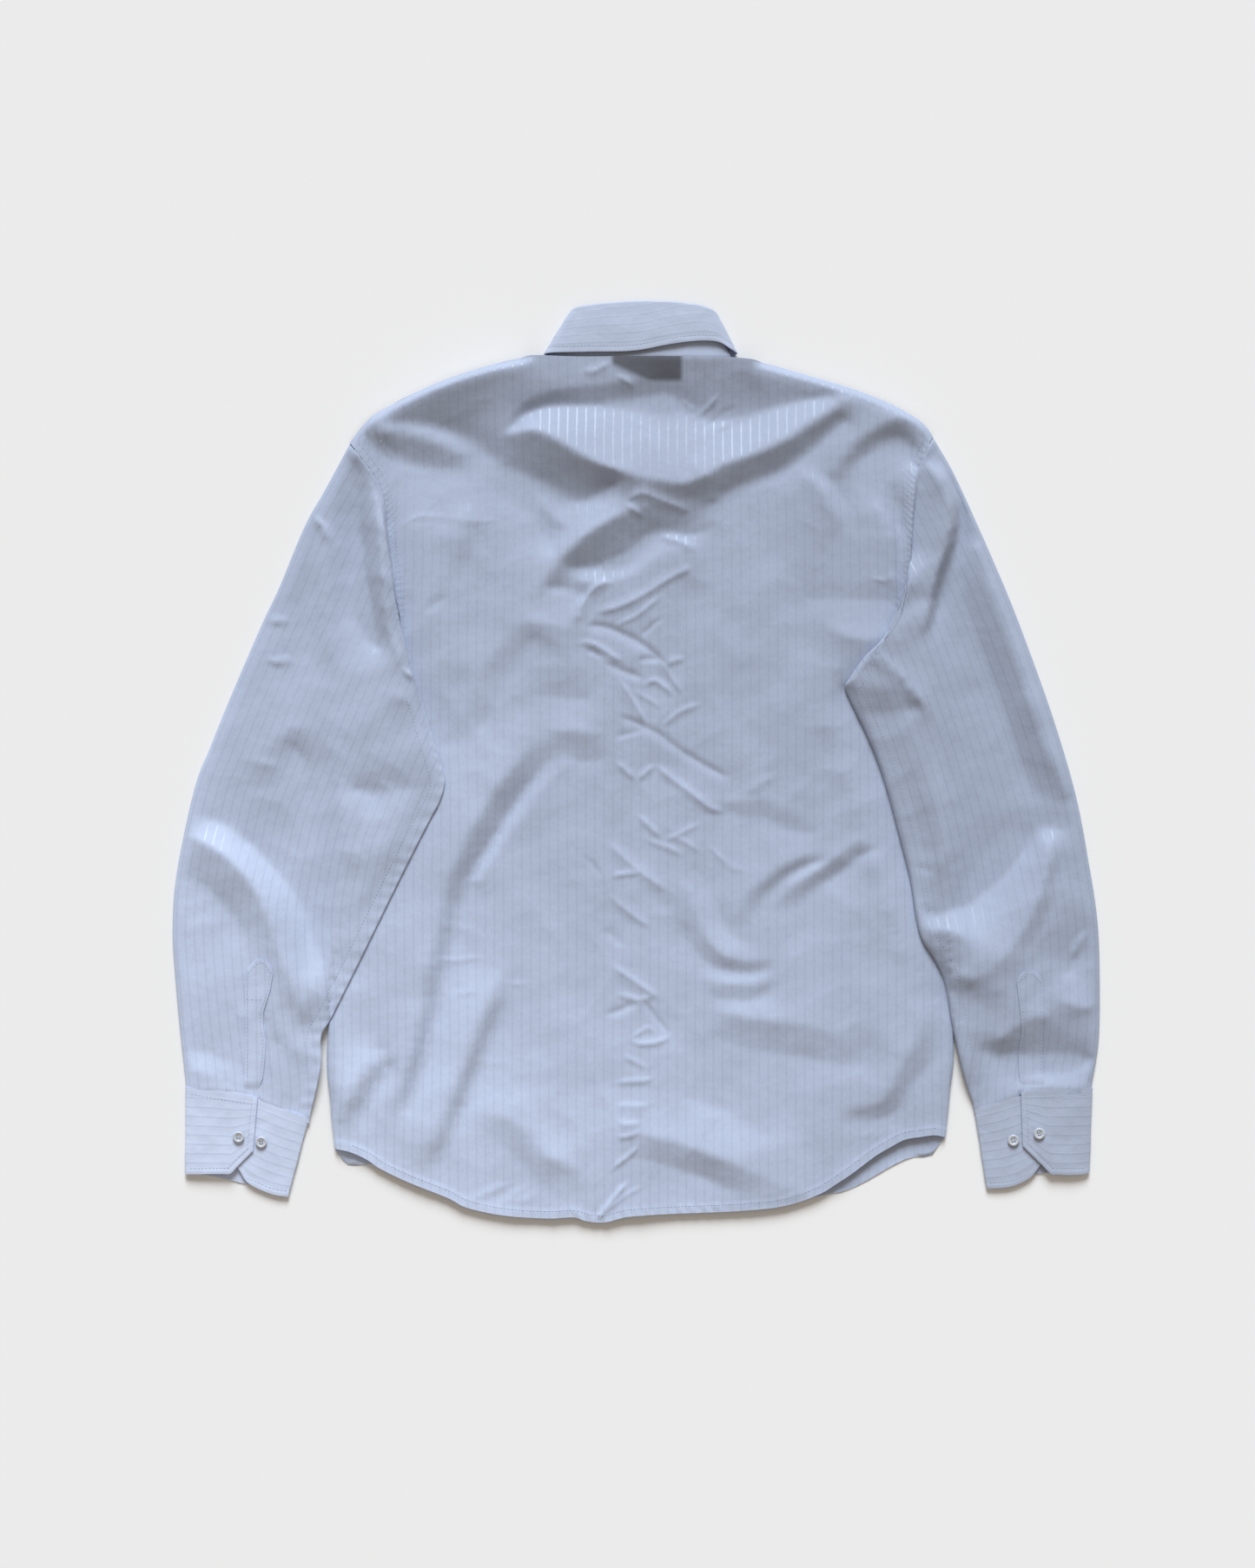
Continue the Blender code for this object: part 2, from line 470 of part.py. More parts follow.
def build_fronts(cloth, parts):
    share = np.concatenate([[0, 0.02], np.linspace(0.14, 0.66, 5), np.linspace(0.72, 1, 10)])
    edge = np.array([(PLACKET[1], FRONT_HEM_LEFT[-1][1]), (PLACKET[1], NECKLINE_LEFT[-1][1])])
    build_front("front_left", FRONT_HEM_LEFT, NECKLINE_LEFT, curve(LEFT_SIDE), edge,
                front_left_bottom, share, cloth, parts)
    edge = np.array([(PLACKET[0], FRONT_HEM_RIGHT[0][1]), (PLACKET[0], NECKLINE_RIGHT[0][1])])
    share = np.concatenate([np.linspace(0, 0.3, 11), np.linspace(0.38, 0.86, 5), [0.98, 1]])
    build_front("front_right", FRONT_HEM_RIGHT, NECKLINE_RIGHT, edge, curve(RIGHT_SIDE),
                front_right_bottom, share, cloth, parts)


def sleeve_rings(armhole, seam, outer, inner, seam_y, folds):
    """Rings round a flattened sleeve: over its top from outer to inner, back underneath."""
    over = shares(COLUMNS_SLEEVE, 150, (0, 1.4, 5))
    under = shares(COLUMNS_SLEEVE - 3, 150, (0, 1.4, 5))[-2:0:-1]
    v = np.linspace(0, 1, ROWS_SLEEVE)
    width = np.hypot(*(at(outer, v) - at(inner, v)).T)[:, None]
    rings = []
    for share, face in ((over, 1), (under, -1)):
        x, y = patch_plan(armhole, seam, outer, inner, share, v)
        edge = np.minimum(share, 1 - share)[None, :] * width
        top = sleeve_top(x, y, seam_y, folds)
        bottom = sleeve_bottom(x, y, seam_y)
        middle, half = (top + bottom) / 2, (top - bottom) / 2
        rings.append(np.dstack([x, y, middle + face * half * round_edge(edge, SLEEVE_EDGE)]))
    return np.concatenate(rings, axis=1)


def build_sleeve(name, lines, seam_y, folds, away, cloth, parts):
    """A sleeve tube, moved away from the body by its seam's gap."""
    rings = sleeve_rings(*(curve(points) for points in lines), seam_y, folds)
    rings[..., 0] += away * SEAM_GAP
    if away < 0:
        rings = rings[:, ::-1]
    return add_object(name, tube_mesh(name, rings), cloth, parts, WALL)


def build_sleeves(cloth, facing, parts):
    left = build_sleeve("sleeve_left", (LEFT_ARMHOLE, LEFT_CUFF_SEAM, LEFT_OUTER, LEFT_INNER),
                        LEFT_CROSSING, LEFT_SLEEVE_FOLDS, -1, cloth, parts)
    build_gauntlet("gauntlet_left", LEFT_GAUNTLET, left, facing, parts)
    right = build_sleeve("sleeve_right", (RIGHT_ARMHOLE, RIGHT_CUFF_SEAM, RIGHT_OUTER, RIGHT_INNER),
                         RIGHT_CROSSING, RIGHT_SLEEVE_FOLDS, 1, cloth, parts)
    build_gauntlet("gauntlet_right", RIGHT_GAUNTLET, right, facing, parts)


def build_cuffs(cloth, parts):
    for name, table, flip in (("cuff_left", LEFT_CUFF, False), ("cuff_right", RIGHT_CUFF, True)):
        share = np.linspace(0, 1, 4)[:, None, None]
        top = np.array([(s.top_x, s.top_y, s.z) for s in table])[None]
        low = np.array([(s.low_x, s.low_y, s.z) for s in table])[None]
        points = low + (top - low) * share
        points = points[:, ::-1] if not flip else points
        add_object(name, sheet_mesh(name, points), cloth, parts, STIFF_WALL, offset=0.0)


def build_gauntlet(name, table, sleeve, cloth, parts):
    """A strip that follows the sleeve's faces, moved out."""
    faces = [tuple(polygon.vertices) for polygon in sleeve.data.polygons]
    tree = BVHTree.FromPolygons([vertex.co for vertex in sleeve.data.vertices], faces)
    share = np.linspace(0, 1, 4)
    points = np.zeros((len(table), len(share), 3))
    for i, row in enumerate(table[::-1]):
        for j, x in enumerate(row.left + (row.right - row.left) * share):
            hit = tree.ray_cast(Vector((x, row.y, 100)) * MM, Vector((0, 0, -1)))[0]
            points[i, j] = x, row.y, hit.z / MM + GAUNTLET_GAP
    add_object(name, sheet_mesh(name, points), cloth, parts, WALL, offset=1.0)


def build_collar(cloth, parts):
    for name, table, wall in (("collar_leaf", LEAF, STIFF_WALL), ("collar_stand", STAND, WALL)):
        share = np.linspace(0, 1, 4)[:, None, None]
        roll = np.array([(r.roll_x, r.roll_y, r.roll_z) for r in table])[None]
        edge = np.array([(r.edge_x, r.edge_y, r.edge_z) for r in table])[None]
        points = edge + (roll - edge) * share
        add_object(name, sheet_mesh(name, points), cloth, parts, wall, offset=0.0)


def build_label(surface, parts):
    x, y = np.meshgrid(np.linspace(*LABEL_X, 7), np.linspace(*LABEL_Y, 4))
    points = np.dstack([x, y, body_top(x, y) - WALL - LABEL_GAP])
    add_object("neck_label", sheet_mesh("neck_label", points), surface, parts, LABEL_WALL)


def build_button(name, x, y, z, surface, parts):
    disc = bmesh.new()
    bmesh.ops.create_cone(disc, cap_ends=True, segments=BUTTON_SIDES, depth=BUTTON_THICK * MM,
                          radius1=BUTTON_RADIUS * MM, radius2=BUTTON_RADIUS * MM)
    mesh = bpy.data.meshes.new(name)
    disc.to_mesh(mesh)
    disc.free()
    made = add_object(name, mesh, surface, parts)
    mesh.set_sharp_from_angle(angle=0.6)
    made.location = (x * MM, y * MM, (z + BUTTON_THICK / 2) * MM)


def build_buttons(surface, parts):
    for name, x, y, z in CUFF_BUTTONS:
        build_button(name, x, y, z, surface, parts)
    for i in range(FRONT_BUTTONS):
        y = FRONT_BUTTON_TOP - i * FRONT_BUTTON_PITCH
        build_button(f"button_front_{i + 1}", BUTTON_X, y, 0, surface, parts)
    build_button("button_collar", BUTTON_X, COLLAR_BUTTON_Y, 0, surface, parts)


def main():
    for leftover in list(bpy.data.objects):
        bpy.data.objects.remove(leftover, do_unlink=True)
    parts = bpy.data.collections.new("shirt_laid_flat")
    bpy.context.scene.collection.children.link(parts)
    cloth = material("cotton", CLOTH, 0.75)
    facing = material("cotton_stiff", CLOTH_SHADE, 0.7)
    resin = material("button_resin", BUTTON_WHITE, 0.3)
    woven = material("label_woven", LABEL_DARK, 0.8)
    build_fronts(cloth, parts)
    build_back(cloth, parts)
    build_sleeves(cloth, facing, parts)
    build_cuffs(facing, parts)
    build_collar(facing, parts)
    build_label(woven, parts)
    build_buttons(resin, parts)


main()
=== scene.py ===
"""A long-sleeved cotton shirt laid flat on its front, its back to the camera.

Each panel is a thin shell that follows the form of its solid. Its creases are lines with
a height in millimetres, laid down as they are read off the cloth, and the cloth spans
between them as a stretched sheet does. Sizes are in millimetres until a mesh is made.
+Y points to the collar and z = 0 is the surface that the shirt lies on.
"""

import functools
import math
from collections import namedtuple

import bmesh
import bpy
import numpy as np
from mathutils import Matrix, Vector
from mathutils.bvhtree import BVHTree


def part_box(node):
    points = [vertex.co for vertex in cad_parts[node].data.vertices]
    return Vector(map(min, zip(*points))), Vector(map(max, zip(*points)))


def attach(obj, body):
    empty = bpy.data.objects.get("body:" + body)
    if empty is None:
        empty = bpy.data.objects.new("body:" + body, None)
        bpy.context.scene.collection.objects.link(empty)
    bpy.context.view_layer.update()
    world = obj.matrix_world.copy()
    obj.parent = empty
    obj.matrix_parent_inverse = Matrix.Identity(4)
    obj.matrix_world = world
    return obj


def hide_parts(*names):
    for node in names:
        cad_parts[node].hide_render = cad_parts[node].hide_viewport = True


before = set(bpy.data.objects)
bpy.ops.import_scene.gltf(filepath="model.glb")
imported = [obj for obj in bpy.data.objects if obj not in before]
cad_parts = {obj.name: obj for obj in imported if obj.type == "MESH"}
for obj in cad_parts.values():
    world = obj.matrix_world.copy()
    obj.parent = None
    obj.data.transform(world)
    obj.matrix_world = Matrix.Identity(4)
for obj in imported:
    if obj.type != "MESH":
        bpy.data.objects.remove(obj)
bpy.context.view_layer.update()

bl_info = {
    "name": "Shirt laid flat",
    "version": (1, 0, 0),
    "blender": (4, 5, 0),
    "location": "3D View > Sidebar > Shirt",
    "description": "Builds a long-sleeved shirt laid flat, its stage and its stitches",
    "category": "Object",
}

MM = 0.001

# Camera: straight above, with the photograph's scale on the cloth
PIXEL = 0.76
IMAGE_TALL = 1806
AIM = (-7.6, -19.4)
CLOTH_HEIGHT = 8.0

# Back: its height at the edges and over the fronts, and the width of its rolled edges
EDGE_TOP = 2.5
PILLOW = 9.0
EDGE_ROLL = 15.0
HEM_DEPTH = 7.0
HEM_RISE = 0.35
OVER_FRONTS = 1.4
# Millimetres from its left side between which its mesh is fine, and its step there
FINE_FROM, FINE_TO = 205.0, 340.0
FINE_STEP = 1.3

# Fronts: their overlap, what holds them off the surface, and where the collar lies under them
PLACKET = (-23.0, 12.0)
FRONT_LENGTH = 700
BUTTON_LIFT = 2.2
FRONT_OVER_FRONT = 3.5
FRONT_TOP = 1.0
COLLAR_LIFT_FROM = 185.0
COLLAR_LIFT_HALF = 95.0

# Sleeves: where each starts to cross the body, its thickness, and its height on the body
LEFT_CROSSING, RIGHT_CROSSING = 200.0, 152.0
SLEEVE_LENGTH = 620
MESH_STEP = 2.5
SLEEVE_THICK = 7.0
SLEEVE_LEAST = 2.0
SEAM_THICK = 1.6
SLEEVE_ROLL = 10.0
SKIRT_OUT = 32.0
SKIRT_IN = 4.0
ON_BODY = 0.3
OVER_BODY = 0.9
SEAM_LAP = 0.5
SLEEVE_FOLDS = 1.45
# How far from the armhole they are level with the back: at the inner edge and elsewhere
LEVEL_AT_INNER, LEVEL_ELSEWHERE = 26, 14
TURNED_IN = 1.6

# Sleeves' ends: how far they thin towards the cuff and go into it, how thick they are above it
# and inside it, how much thicker where its overlap takes them, and where each overlap ends
THINS_OVER = 95
IN_CUFF = 6
SEAM_TUCK = 4
END_ABOVE_CUFF, END_IN_CUFF, END_BY_OVERLAP = 4.0, 3.5, 2.0
OVERLAP = {"left": 329.0, "right": 335.0}

# Cuffs, collar and gauntlets: depths, walls, and how far a cuff reaches past its stations
CUFF_DEPTH = 74
CUFF_REACH = 1.018
STIFF_WALL = 1.2
STAND_WALL = 0.9
STRIP_WIDTH = 20

# Buttons: each hole's distance from both middle lines, its radius, and the button's height
HOLE_OFF = 1.15
HOLE_RADIUS = 0.62
BUTTON_HIGH = 1.9

# Faint ripples of each part: seed and height
RIPPLES = {"back": (4, 0.36), "left": (4, 0.22), "right": (5, 0.22)}

# How much paler a part's cloth is: for the white interlining under it in the collar and
# cuffs, and a little darker on the sleeves
PART_TONES = {"collar": 1.17, "cuffs": 1.005, "sleeves": 0.96}
# Share of the stripes' pitch over which a stripe's edge fades
STRIPE_FADE = 0.035

# Light: a large soft window beyond the collar, and a weaker and warmer light from all round
KEY_FROM = (0.0, 0.86, 0.50)
KEY_SPREAD = 28
KEY_TINT = (0.866, 0.930, 1)
FILL_TINT = (1, 0.893, 0.777, 1)

# Outlines, each from its first corner to its last
HEM = [(-264, -339), (-250, -342), (-235, -349), (-225, -356), (-200, -368), (-165, -382),
       (-150, -390), (-125, -396), (-100, -399), (-75, -400), (-55, -399), (-45, -402),
       (-35, -403.5), (-25, -403), (-10, -399), (5, -397.5), (30, -396), (90, -393.5),
       (130, -389), (160, -379), (175, -370), (190, -360), (210, -345), (222, -338),
       (235, -331), (250, -328.5), (262, -327), (271, -329)]
SHOULDERS = [(-251, 280), (-236, 299), (-220, 310), (-180, 330), (-140, 344.5), (-100, 354),
             (-80, 355), (-60, 354.5), (0, 354.5), (60, 354), (88, 353), (110, 350),
             (150, 339), (190, 327), (225, 313), (250, 298), (260, 286)]
LEFT_SIDE = [(-264, -339), (-268, -300), (-270, -235), (-250, -60), (-232, 90), (-228, 140),
             (-222, 175), (-217, 197), (-218, 212), (-220, 230), (-223, 240), (-231, 254),
             (-241, 267), (-251, 280)]
RIGHT_SIDE = [(271, -329), (275, -290), (278, -235), (266, -60), (252, 60), (245, 110),
              (234.5, 138), (236.6, 155), (239.4, 180), (241, 200), (243, 235), (245, 252),
              (251, 267), (260, 286)]
FRONT_HEM_LEFT = [(-264, -339), (-256, -351), (-248, -354), (-230, -353), (-205, -360),
                  (-165, -376), (-125, -390), (-75, -394), (12, -392)]
FRONT_HEM_RIGHT = [(-23, -394), (30, -390), (90, -389), (130, -386), (165, -380), (187, -375),
                   (205, -366), (220, -357), (240, -347), (257, -346), (264, -338), (271, -329)]
NECKLINE_LEFT = [(-251, 280), (-220, 310), (-180, 330), (-140, 344.5), (-100, 354), (-80, 355),
                 (-74, 330), (-58, 293), (-38, 263), (-15, 247), (12, 243)]
NECKLINE_RIGHT = [(-23, 243), (5, 247), (30, 263), (52, 293), (70, 330), (84, 353), (110, 350),
                  (150, 339), (190, 327), (225, 313), (250, 298), (260, 286)]
LEFT_OUTER = [(-251, 280), (-272, 241), (-291, 207), (-313, 154), (-329, 120), (-357, 55),
              (-374, 13), (-386, -17), (-397, -63), (-405, -109), (-407, -150), (-405, -184),
              (-401, -230), (-395, -286)]
LEFT_INNER = [(-210, 112), (-200, 90), (-190, 62), (-180, 28), (-171, -2), (-167.5, -18),
              (-172, -35), (-180, -50), (-202, -93), (-235, -160), (-266, -222), (-276, -240),
              (-276, -262), (-280, -285), (-287, -313)]
LEFT_ARMHOLE = [(-251, 280), (-241, 267), (-231, 254), (-223, 240), (-220, 229), (-218, 210),
                (-216, 190), (-213, 165), (-211, 140), (-210, 112)]
LEFT_CUFF_SEAM = [(-394.2, -285.7), (-363, -287.4), (-333, -291.4), (-328, -296),
                  (-308, -304.2), (-287, -312.5)]
RIGHT_OUTER = [(260, 286), (279, 253), (302, 203), (325, 150), (344, 101), (367, 36),
               (386, -29), (397, -86), (405, -139), (407, -192), (406, -245), (399.4, -286.5)]
RIGHT_INNER = [(230, 131), (214, 106), (200, 92), (186, 72), (183, 65), (188, 53), (202, 24),
               (212, 0), (221, -28), (230, -62), (240, -102), (245, -135), (250, -155),
               (262, -174), (271, -195), (278, -235), (287, -275), (297, -304)]
RIGHT_ARMHOLE = [(260, 286), (251, 267), (245, 252), (243, 235), (241, 200), (240.6, 172),
                 (240.8, 155), (238.8, 142), (230, 131)]
RIGHT_CUFF_SEAM = [(399, -286.2), (370, -286.7), (338, -287), (334, -292.4), (316, -298.5),
                   (297, -303.5)]

# Creases of the back: points of ridges and valleys as x, y and height over the cloth's
# usual level
BACK_CREASES = {
    "left side": [(-262, -339, 0), (-266, -300, 0), (-268, -235, 0), (-250, -60, 0), (-234, 90, 0),
        (-230, 140, 0), (-224, 175, 0), (-220, 200, 0), (-222, 230, 0), (-233, 254, 1),
        (-250, 280, 2)],
    "right side": [(270, -329, 0), (274, -290, 0), (276, -235, -3), (264, -160, -4),
        (250, -120, -4.5), (240, -100, -5), (231, -64, -6), (222, -30, -6), (212, 0, -6),
        (196, 40, -5), (185, 66, -4)],
    "right armhole": [(231, 131, 1), (237, 140, 2), (239, 160, 3.5), (239, 200, 3.5),
        (240, 232, 3.5), (246, 254, 2), (258, 286, 0)],
    "shoulders": [(-250, 281, 2), (-235, 300, 6), (-200, 320, 9), (-160, 337, 10), (-120, 349, 10),
        (-80, 354, 7), (-40, 353, 3.5), (0, 353, 5), (40, 353, 7.5), (70, 352.5, 8.5),
        (95, 351.5, 7), (130, 344, 5), (180, 330, 5), (225, 312, 5), (258, 287, 1)],
    "hem": [(-262, -339, 0), (-225, -355, 0), (-165, -381, 0), (-125, -394, 0), (-75, -399, 0),
        (-35, -402, 0), (-10, -398, 0), (30, -395, 0), (90, -392, 0), (130, -388, 0),
        (160, -378, 0), (190, -360, 0), (210, -345, 0), (235, -331, 0), (270, -329, 0)],
    "upper swag": [(-114, 290, 1.5), (-112, 299, 2.5), (-103, 311, 3.5), (-88, 320, 4),
        (-70, 326, 4), (-41, 330, 3.5), (-13, 333, 3), (12, 335, 2.5)],
    "hollow under the collar": [(-110, 291, 1), (-103, 299, -0.5), (-93, 307, -2),
        (-79, 311.5, -2.8), (-58, 313, -3), (-28, 313, -4), (0, 315, -5), (22, 317, -5),
        (38, 314, -5), (52, 306, -5), (70, 300, -5), (88, 301, -4.5), (110, 308, -4),
        (135, 314, -3), (155, 318, -2), (170, 320, 0)],
    "great swag": [(-110, 287, 4), (-100, 289, 8), (-90, 290, 12), (-78, 286, 14.2),
        (-60, 275, 15.3), (-41, 264, 15.5), (-20, 255, 15), (0, 249.5, 14), (20, 245, 14),
        (38, 243, 13.5), (55, 247, 12), (80, 261, 10.5), (110, 271, 9), (140, 287, 7.5),
        (168, 306, 6), (188, 318, 5.5)],
    "under the great swag, right": [(58, 220, 0), (70, 228, -1), (85, 239, -2), (108, 248, -3),
        (130, 257, -3), (145, 268, -3), (160, 282, -2.5), (180, 299, -1)],
    "under the great swag, left": [(-133, 264, -5.5), (-115, 256, -6), (-98, 248, -6),
        (-84, 241, -6), (-70, 234, -5.5), (-55, 229, -4), (-42, 230, -3), (-30, 238, -0.5),
        (-20, 245, 3)],
    "second swag": [(72, 231, 0.88), (48, 229, 4.4), (26, 227, 7.04), (1, 222, 8.8),
        (-20, 213, 9.68), (-41, 201, 9.68), (-57, 187, 7.92), (-70, 172, 5.28), (-84, 154, 3.52),
        (-95, 138, 2.64), (-103, 127, 3.52), (-119, 104, 3.52), (-135, 76, 3.08), (-152, 41, 2.64),
        (-165, 16, 0.88)],
    "pool under the second swag": [(-54, 171, -1.7), (-38, 171, -3.4), (-20, 173, -4.25),
        (-3, 182, -4.25), (8, 195, -3.4), (26, 203, -3.4), (50, 199, -3.4), (72, 208, -0.85)],
    "pool's lower rim": [(-48, 158, 1), (-20, 158, 1.5), (4, 166, 1.5), (22, 182, 1),
        (48, 186, 1)],
    "under the second swag": [(-46, 146, -1.5), (-56, 150, -2), (-66, 153, -2), (-76, 153, -0.5)],
    "left shoulder": [(-243, 298, 4), (-230, 293, 5), (-218, 288, 5.5)],
    "under the left shoulder": [(-238, 286, 0), (-226, 276, -3), (-214, 268, -5), (-200, 262, -6),
        (-180, 257, -6.3), (-162, 257, -5.5), (-148, 250, -4), (-138, 240, -2.5)],
    "shoulder streak": [(-206, 289, 2.5), (-188, 283, 1), (-168, 277, -1), (-152, 268, -3.5)],
    "right shoulder V": [(168, 250, 1), (180, 266, 2.8), (192, 280, 4.2), (208, 291, 5.2),
        (224, 299, 6), (236, 302, 6), (247, 297, 5), (256, 286, 3)],
    "inside the V": [(180, 240, -1), (188, 254, -1.5), (199, 267, -2), (212, 278, -2),
        (226, 286, -2.5), (236, 281, -3.5), (243, 271, -4.5), (246, 258, -4)],
    "beside the V": [(148, 250, 2), (158, 242, 4), (167, 230, 4.5), (172, 214, 3.5),
        (171, 198, 2)],
    "left flank": [(-196, 206, 2), (-188, 170, 3.5), (-182, 130, 3.5), (-182, 80, 2),
        (-190, 40, 0)],
    "left flank's partner": [(-150, 218, 3.5), (-153, 196, 4.5), (-160, 166, 3)],
    "between them": [(-140, 214, 1.5), (-141, 190, 1.5), (-150, 160, 2)],
    "long fold": [(-84, 24, 1.5), (-98, 8, 4), (-120, -20, 7), (-140, -52, 8.5), (-156, -84, 8.5),
        (-167, -112, 8.5), (-175, -150, 8.5), (-184, -190, 8.5), (-192, -232, 8), (-202, -270, 7),
        (-212, -306, 2.5)],
    "long fold's valley": [(-70, 10, 0.5), (-80, -2, -1.5), (-92, -18, -3), (-105, -37, -4),
        (-119, -59, -4), (-134, -84, -3.5), (-149, -112, -2.5), (-159, -150, -1.5),
        (-168, -190, -1.5), (-178, -235, -1.5), (-189, -275, -1), (-201, -306, 0)],
    "tail fold": [(-116, -178, 1.5), (-130, -211, 5), (-142, -241, 6.5), (-153, -270, 7),
        (-164, -299, 7), (-175, -326, 6), (-188, -354, 2)],
    "tail fold's valley": [(-104, -186, 0), (-118, -218, -1), (-130, -248, -1.5),
        (-141, -275, -1.5), (-151, -302, -1.5), (-161, -328, -1), (-173, -354, 0)],
    "side fold": [(-222, -250, 1), (-231, -262, 4), (-242, -277, 6), (-251, -294, 6),
        (-259, -312, 3)],
    "side fold's valley": [(-214, -266, 0), (-222, -277, -1), (-230, -289, -1.5),
        (-238, -306, -1.5), (-244, -324, 0)],
    "right flank": [(172, 84, 3), (168, 52, 4.5), (172, 22, 4), (182, -10, 3.5), (192, -40, 3),
        (203, -75, 3), (215, -110, 3), (227, -145, 3), (240, -175, 3), (246, -212, 3.5),
        (246, -240, 4), (237, -256, 4), (229, -270, 4), (222, -286, 4), (214, -297, 3.5),
        (202, -301, 3), (184, -302, 1.5)],
    "right edge": [(262, -195, -3), (266, -228, -3.5), (264, -254, -3.5), (253, -270, -2),
        (240, -284, -1.5), (234, -298, -1.5), (223, -310, -1.5), (206, -314, -1), (186, -312, 0)],
    "first arm crease": [(88, -134, 1.27), (101, -113, 2.38), (115, -99, 2.98), (132, -89, 2.98),
        (152, -80, 2.12)],
    "first arm valley": [(102, -136, 0), (113, -119, -0.68), (126, -105, -0.85), (142, -95, -0.68),
        (160, -87, 0)],
    "second arm crease": [(120, -126, 1.02), (135, -111, 2.12), (152, -98, 3.23), (170, -86, 3.82),
        (188, -73, 3.82), (200, -66, 3.4)],
    "second arm valley": [(136, -131, 0), (148, -118, -0.85), (163, -107, -1.27),
        (180, -96, -1.27), (196, -83, -0.85), (208, -76, 0.85)],
    "S fold": [(33, -104, 1.23), (46, -115, 2.13), (53, -135, 2.62), (61, -150, 2.87),
        (69, -163, 2.95), (81, -171, 2.95), (96, -174, 2.46), (112, -172, 1.8)],
    "S fold's valley": [(22, -122, 0), (35, -142, 0), (47, -161, -0.41), (59, -175, -0.66),
        (75, -182, -0.66), (95, -185, -0.66), (114, -183, 0)],
    "under the S": [(60, -191, 1.23), (80, -194, 1.8), (98, -195, 1.8), (110, -191, 1.64),
        (117, -184, 0.98)],
    "under the S, valley": [(70, -206, 0), (92, -209, -0.41), (109, -206, -0.66), (121, -194, 0)],
    "long right crease": [(60, -216, 1), (90, -222, 2.8), (115, -226, 3.8), (140, -229, 4),
        (165, -234, 3.8), (185, -242, 2.8), (200, -252, 1.5)],
    "long right valley": [(66, -242, 0), (96, -250, -0.5), (124, -256, -1), (150, -259, -1),
        (175, -264, -0.5), (198, -265, 0)],
    "hem sweep": [(-34, -318, 1), (0, -324, 3.5), (40, -334, 4.8), (70, -345, 4.8), (98, -357, 4),
        (124, -369, 2.5), (146, -378, 1)],
    "hem sweep's valley": [(-8, -346, 0), (28, -354, -0.8), (58, -364, -1), (84, -376, -0.5)],
    "tail crease": [(-136, -306, 0.5), (-118, -310, 2.5), (-100, -320, 3.5), (-88, -332, 3.5),
        (-74, -346, 3.8), (-56, -352, 2.5)],
    "tail crease's valley": [(-130, -330, 0), (-112, -340, -0.3), (-97, -354, -0.8),
        (-84, -372, -1), (-66, -384, -0.8), (-50, -380, 0)],
    "waist crease": [(46, -30, 0.75), (70, -34, 1.12), (95, -33, 1.65), (115, -32, 1.95),
        (135, -43, 1.95), (152, -50, 1.5)],
    "waist valley": [(60, -46, 0), (85, -46, -0.38), (110, -49, -0.75), (130, -59, -0.75),
        (152, -63, -0.38)],
    "armpit crease": [(150, 160, 0.4), (170, 157, 1), (192, 158, 1.6), (208, 161, 2.2),
        (222, 158, 2)],
    "armpit valley": [(150, 142, 0), (170, 142, 0), (190, 142, 0), (210, 142, -0.2),
        (226, 139, 0)],
    "under the armpit": [(156, 118, 2), (178, 112, 4), (202, 106, 4.5), (219, 112, 4)],
    "small swag": [(-96, 82, 1.2), (-74, 84, 2.7), (-50, 82, 2.7), (-30, 76, 1.8)],
    "small swag's valley": [(-92, 60, 0.3), (-66, 56, 0), (-44, 56, 0)],
    "shoulder's crest": [(-226, 306, 3.5), (-208, 312, 6), (-188, 321, 9), (-160, 332, 13),
        (-130, 341, 15), (-108, 346, 13), (-90, 349, 9)],
    "shoulder's foot": [(-214, 298, 1.5), (-198, 297, 0), (-178, 294, -3), (-158, 288, -6),
        (-140, 276, -7.5), (-124, 263, -7.5)],
    "third swag": [(-98, 122, 4.5), (-82, 121, 5), (-66, 118, 4.5), (-50, 116, 3)],
    "beside the second swag": [(-88, 107, 1), (-102, 92, 0.5), (-118, 62, 0), (-136, 30, 0)],
    "armhole arc": [(204, 226, 1.5), (213, 218, 3.5), (220, 204, 4.5), (223, 186, 4.5),
        (223, 168, 4), (227, 152, 2.5)],
    "beside the armhole": [(226, 240, -1), (230, 220, -3), (232, 195, -3), (232, 168, -2.5),
        (234, 148, -1)],
    "right of that": [(166, 252, -0.5), (176, 240, -1.5), (182, 226, -0.5), (186, 206, 0)],
    "S fold's upper valley": [(46, -90, 0), (62, -106, -0.5), (71, -128, -1), (79, -146, -1),
        (92, -156, -0.5), (106, -158, 0)],
    "above the hem sweep": [(-40, -282, 0), (0, -286, 0), (40, -292, -0.5), (80, -306, -1),
        (112, -326, -0.5)],
    "long fold's rim": [(-60, -2, 1.5), (-74, -14, 1.5), (-88, -30, 1), (-104, -52, 1),
        (-122, -78, 1), (-139, -106, 1)],
    "fold by the placket": [(-70, 28, 3), (-52, 27, 4), (-36, 24, 3)],
    "under that": [(-60, 4, 0), (-46, 0, -1), (-30, 2, -0.5)],
    "wedge by the tail": [(-66, -320, 1), (-56, -338, 1.5), (-42, -356, 1), (-36, -380, 0)],
    "foot of the second swag": [(-120, 238, -5), (-106, 230, -5), (-94, 220, -4.5),
        (-83, 207, -3.5), (-76, 196, -2.5), (-76, 184, 0)],
}

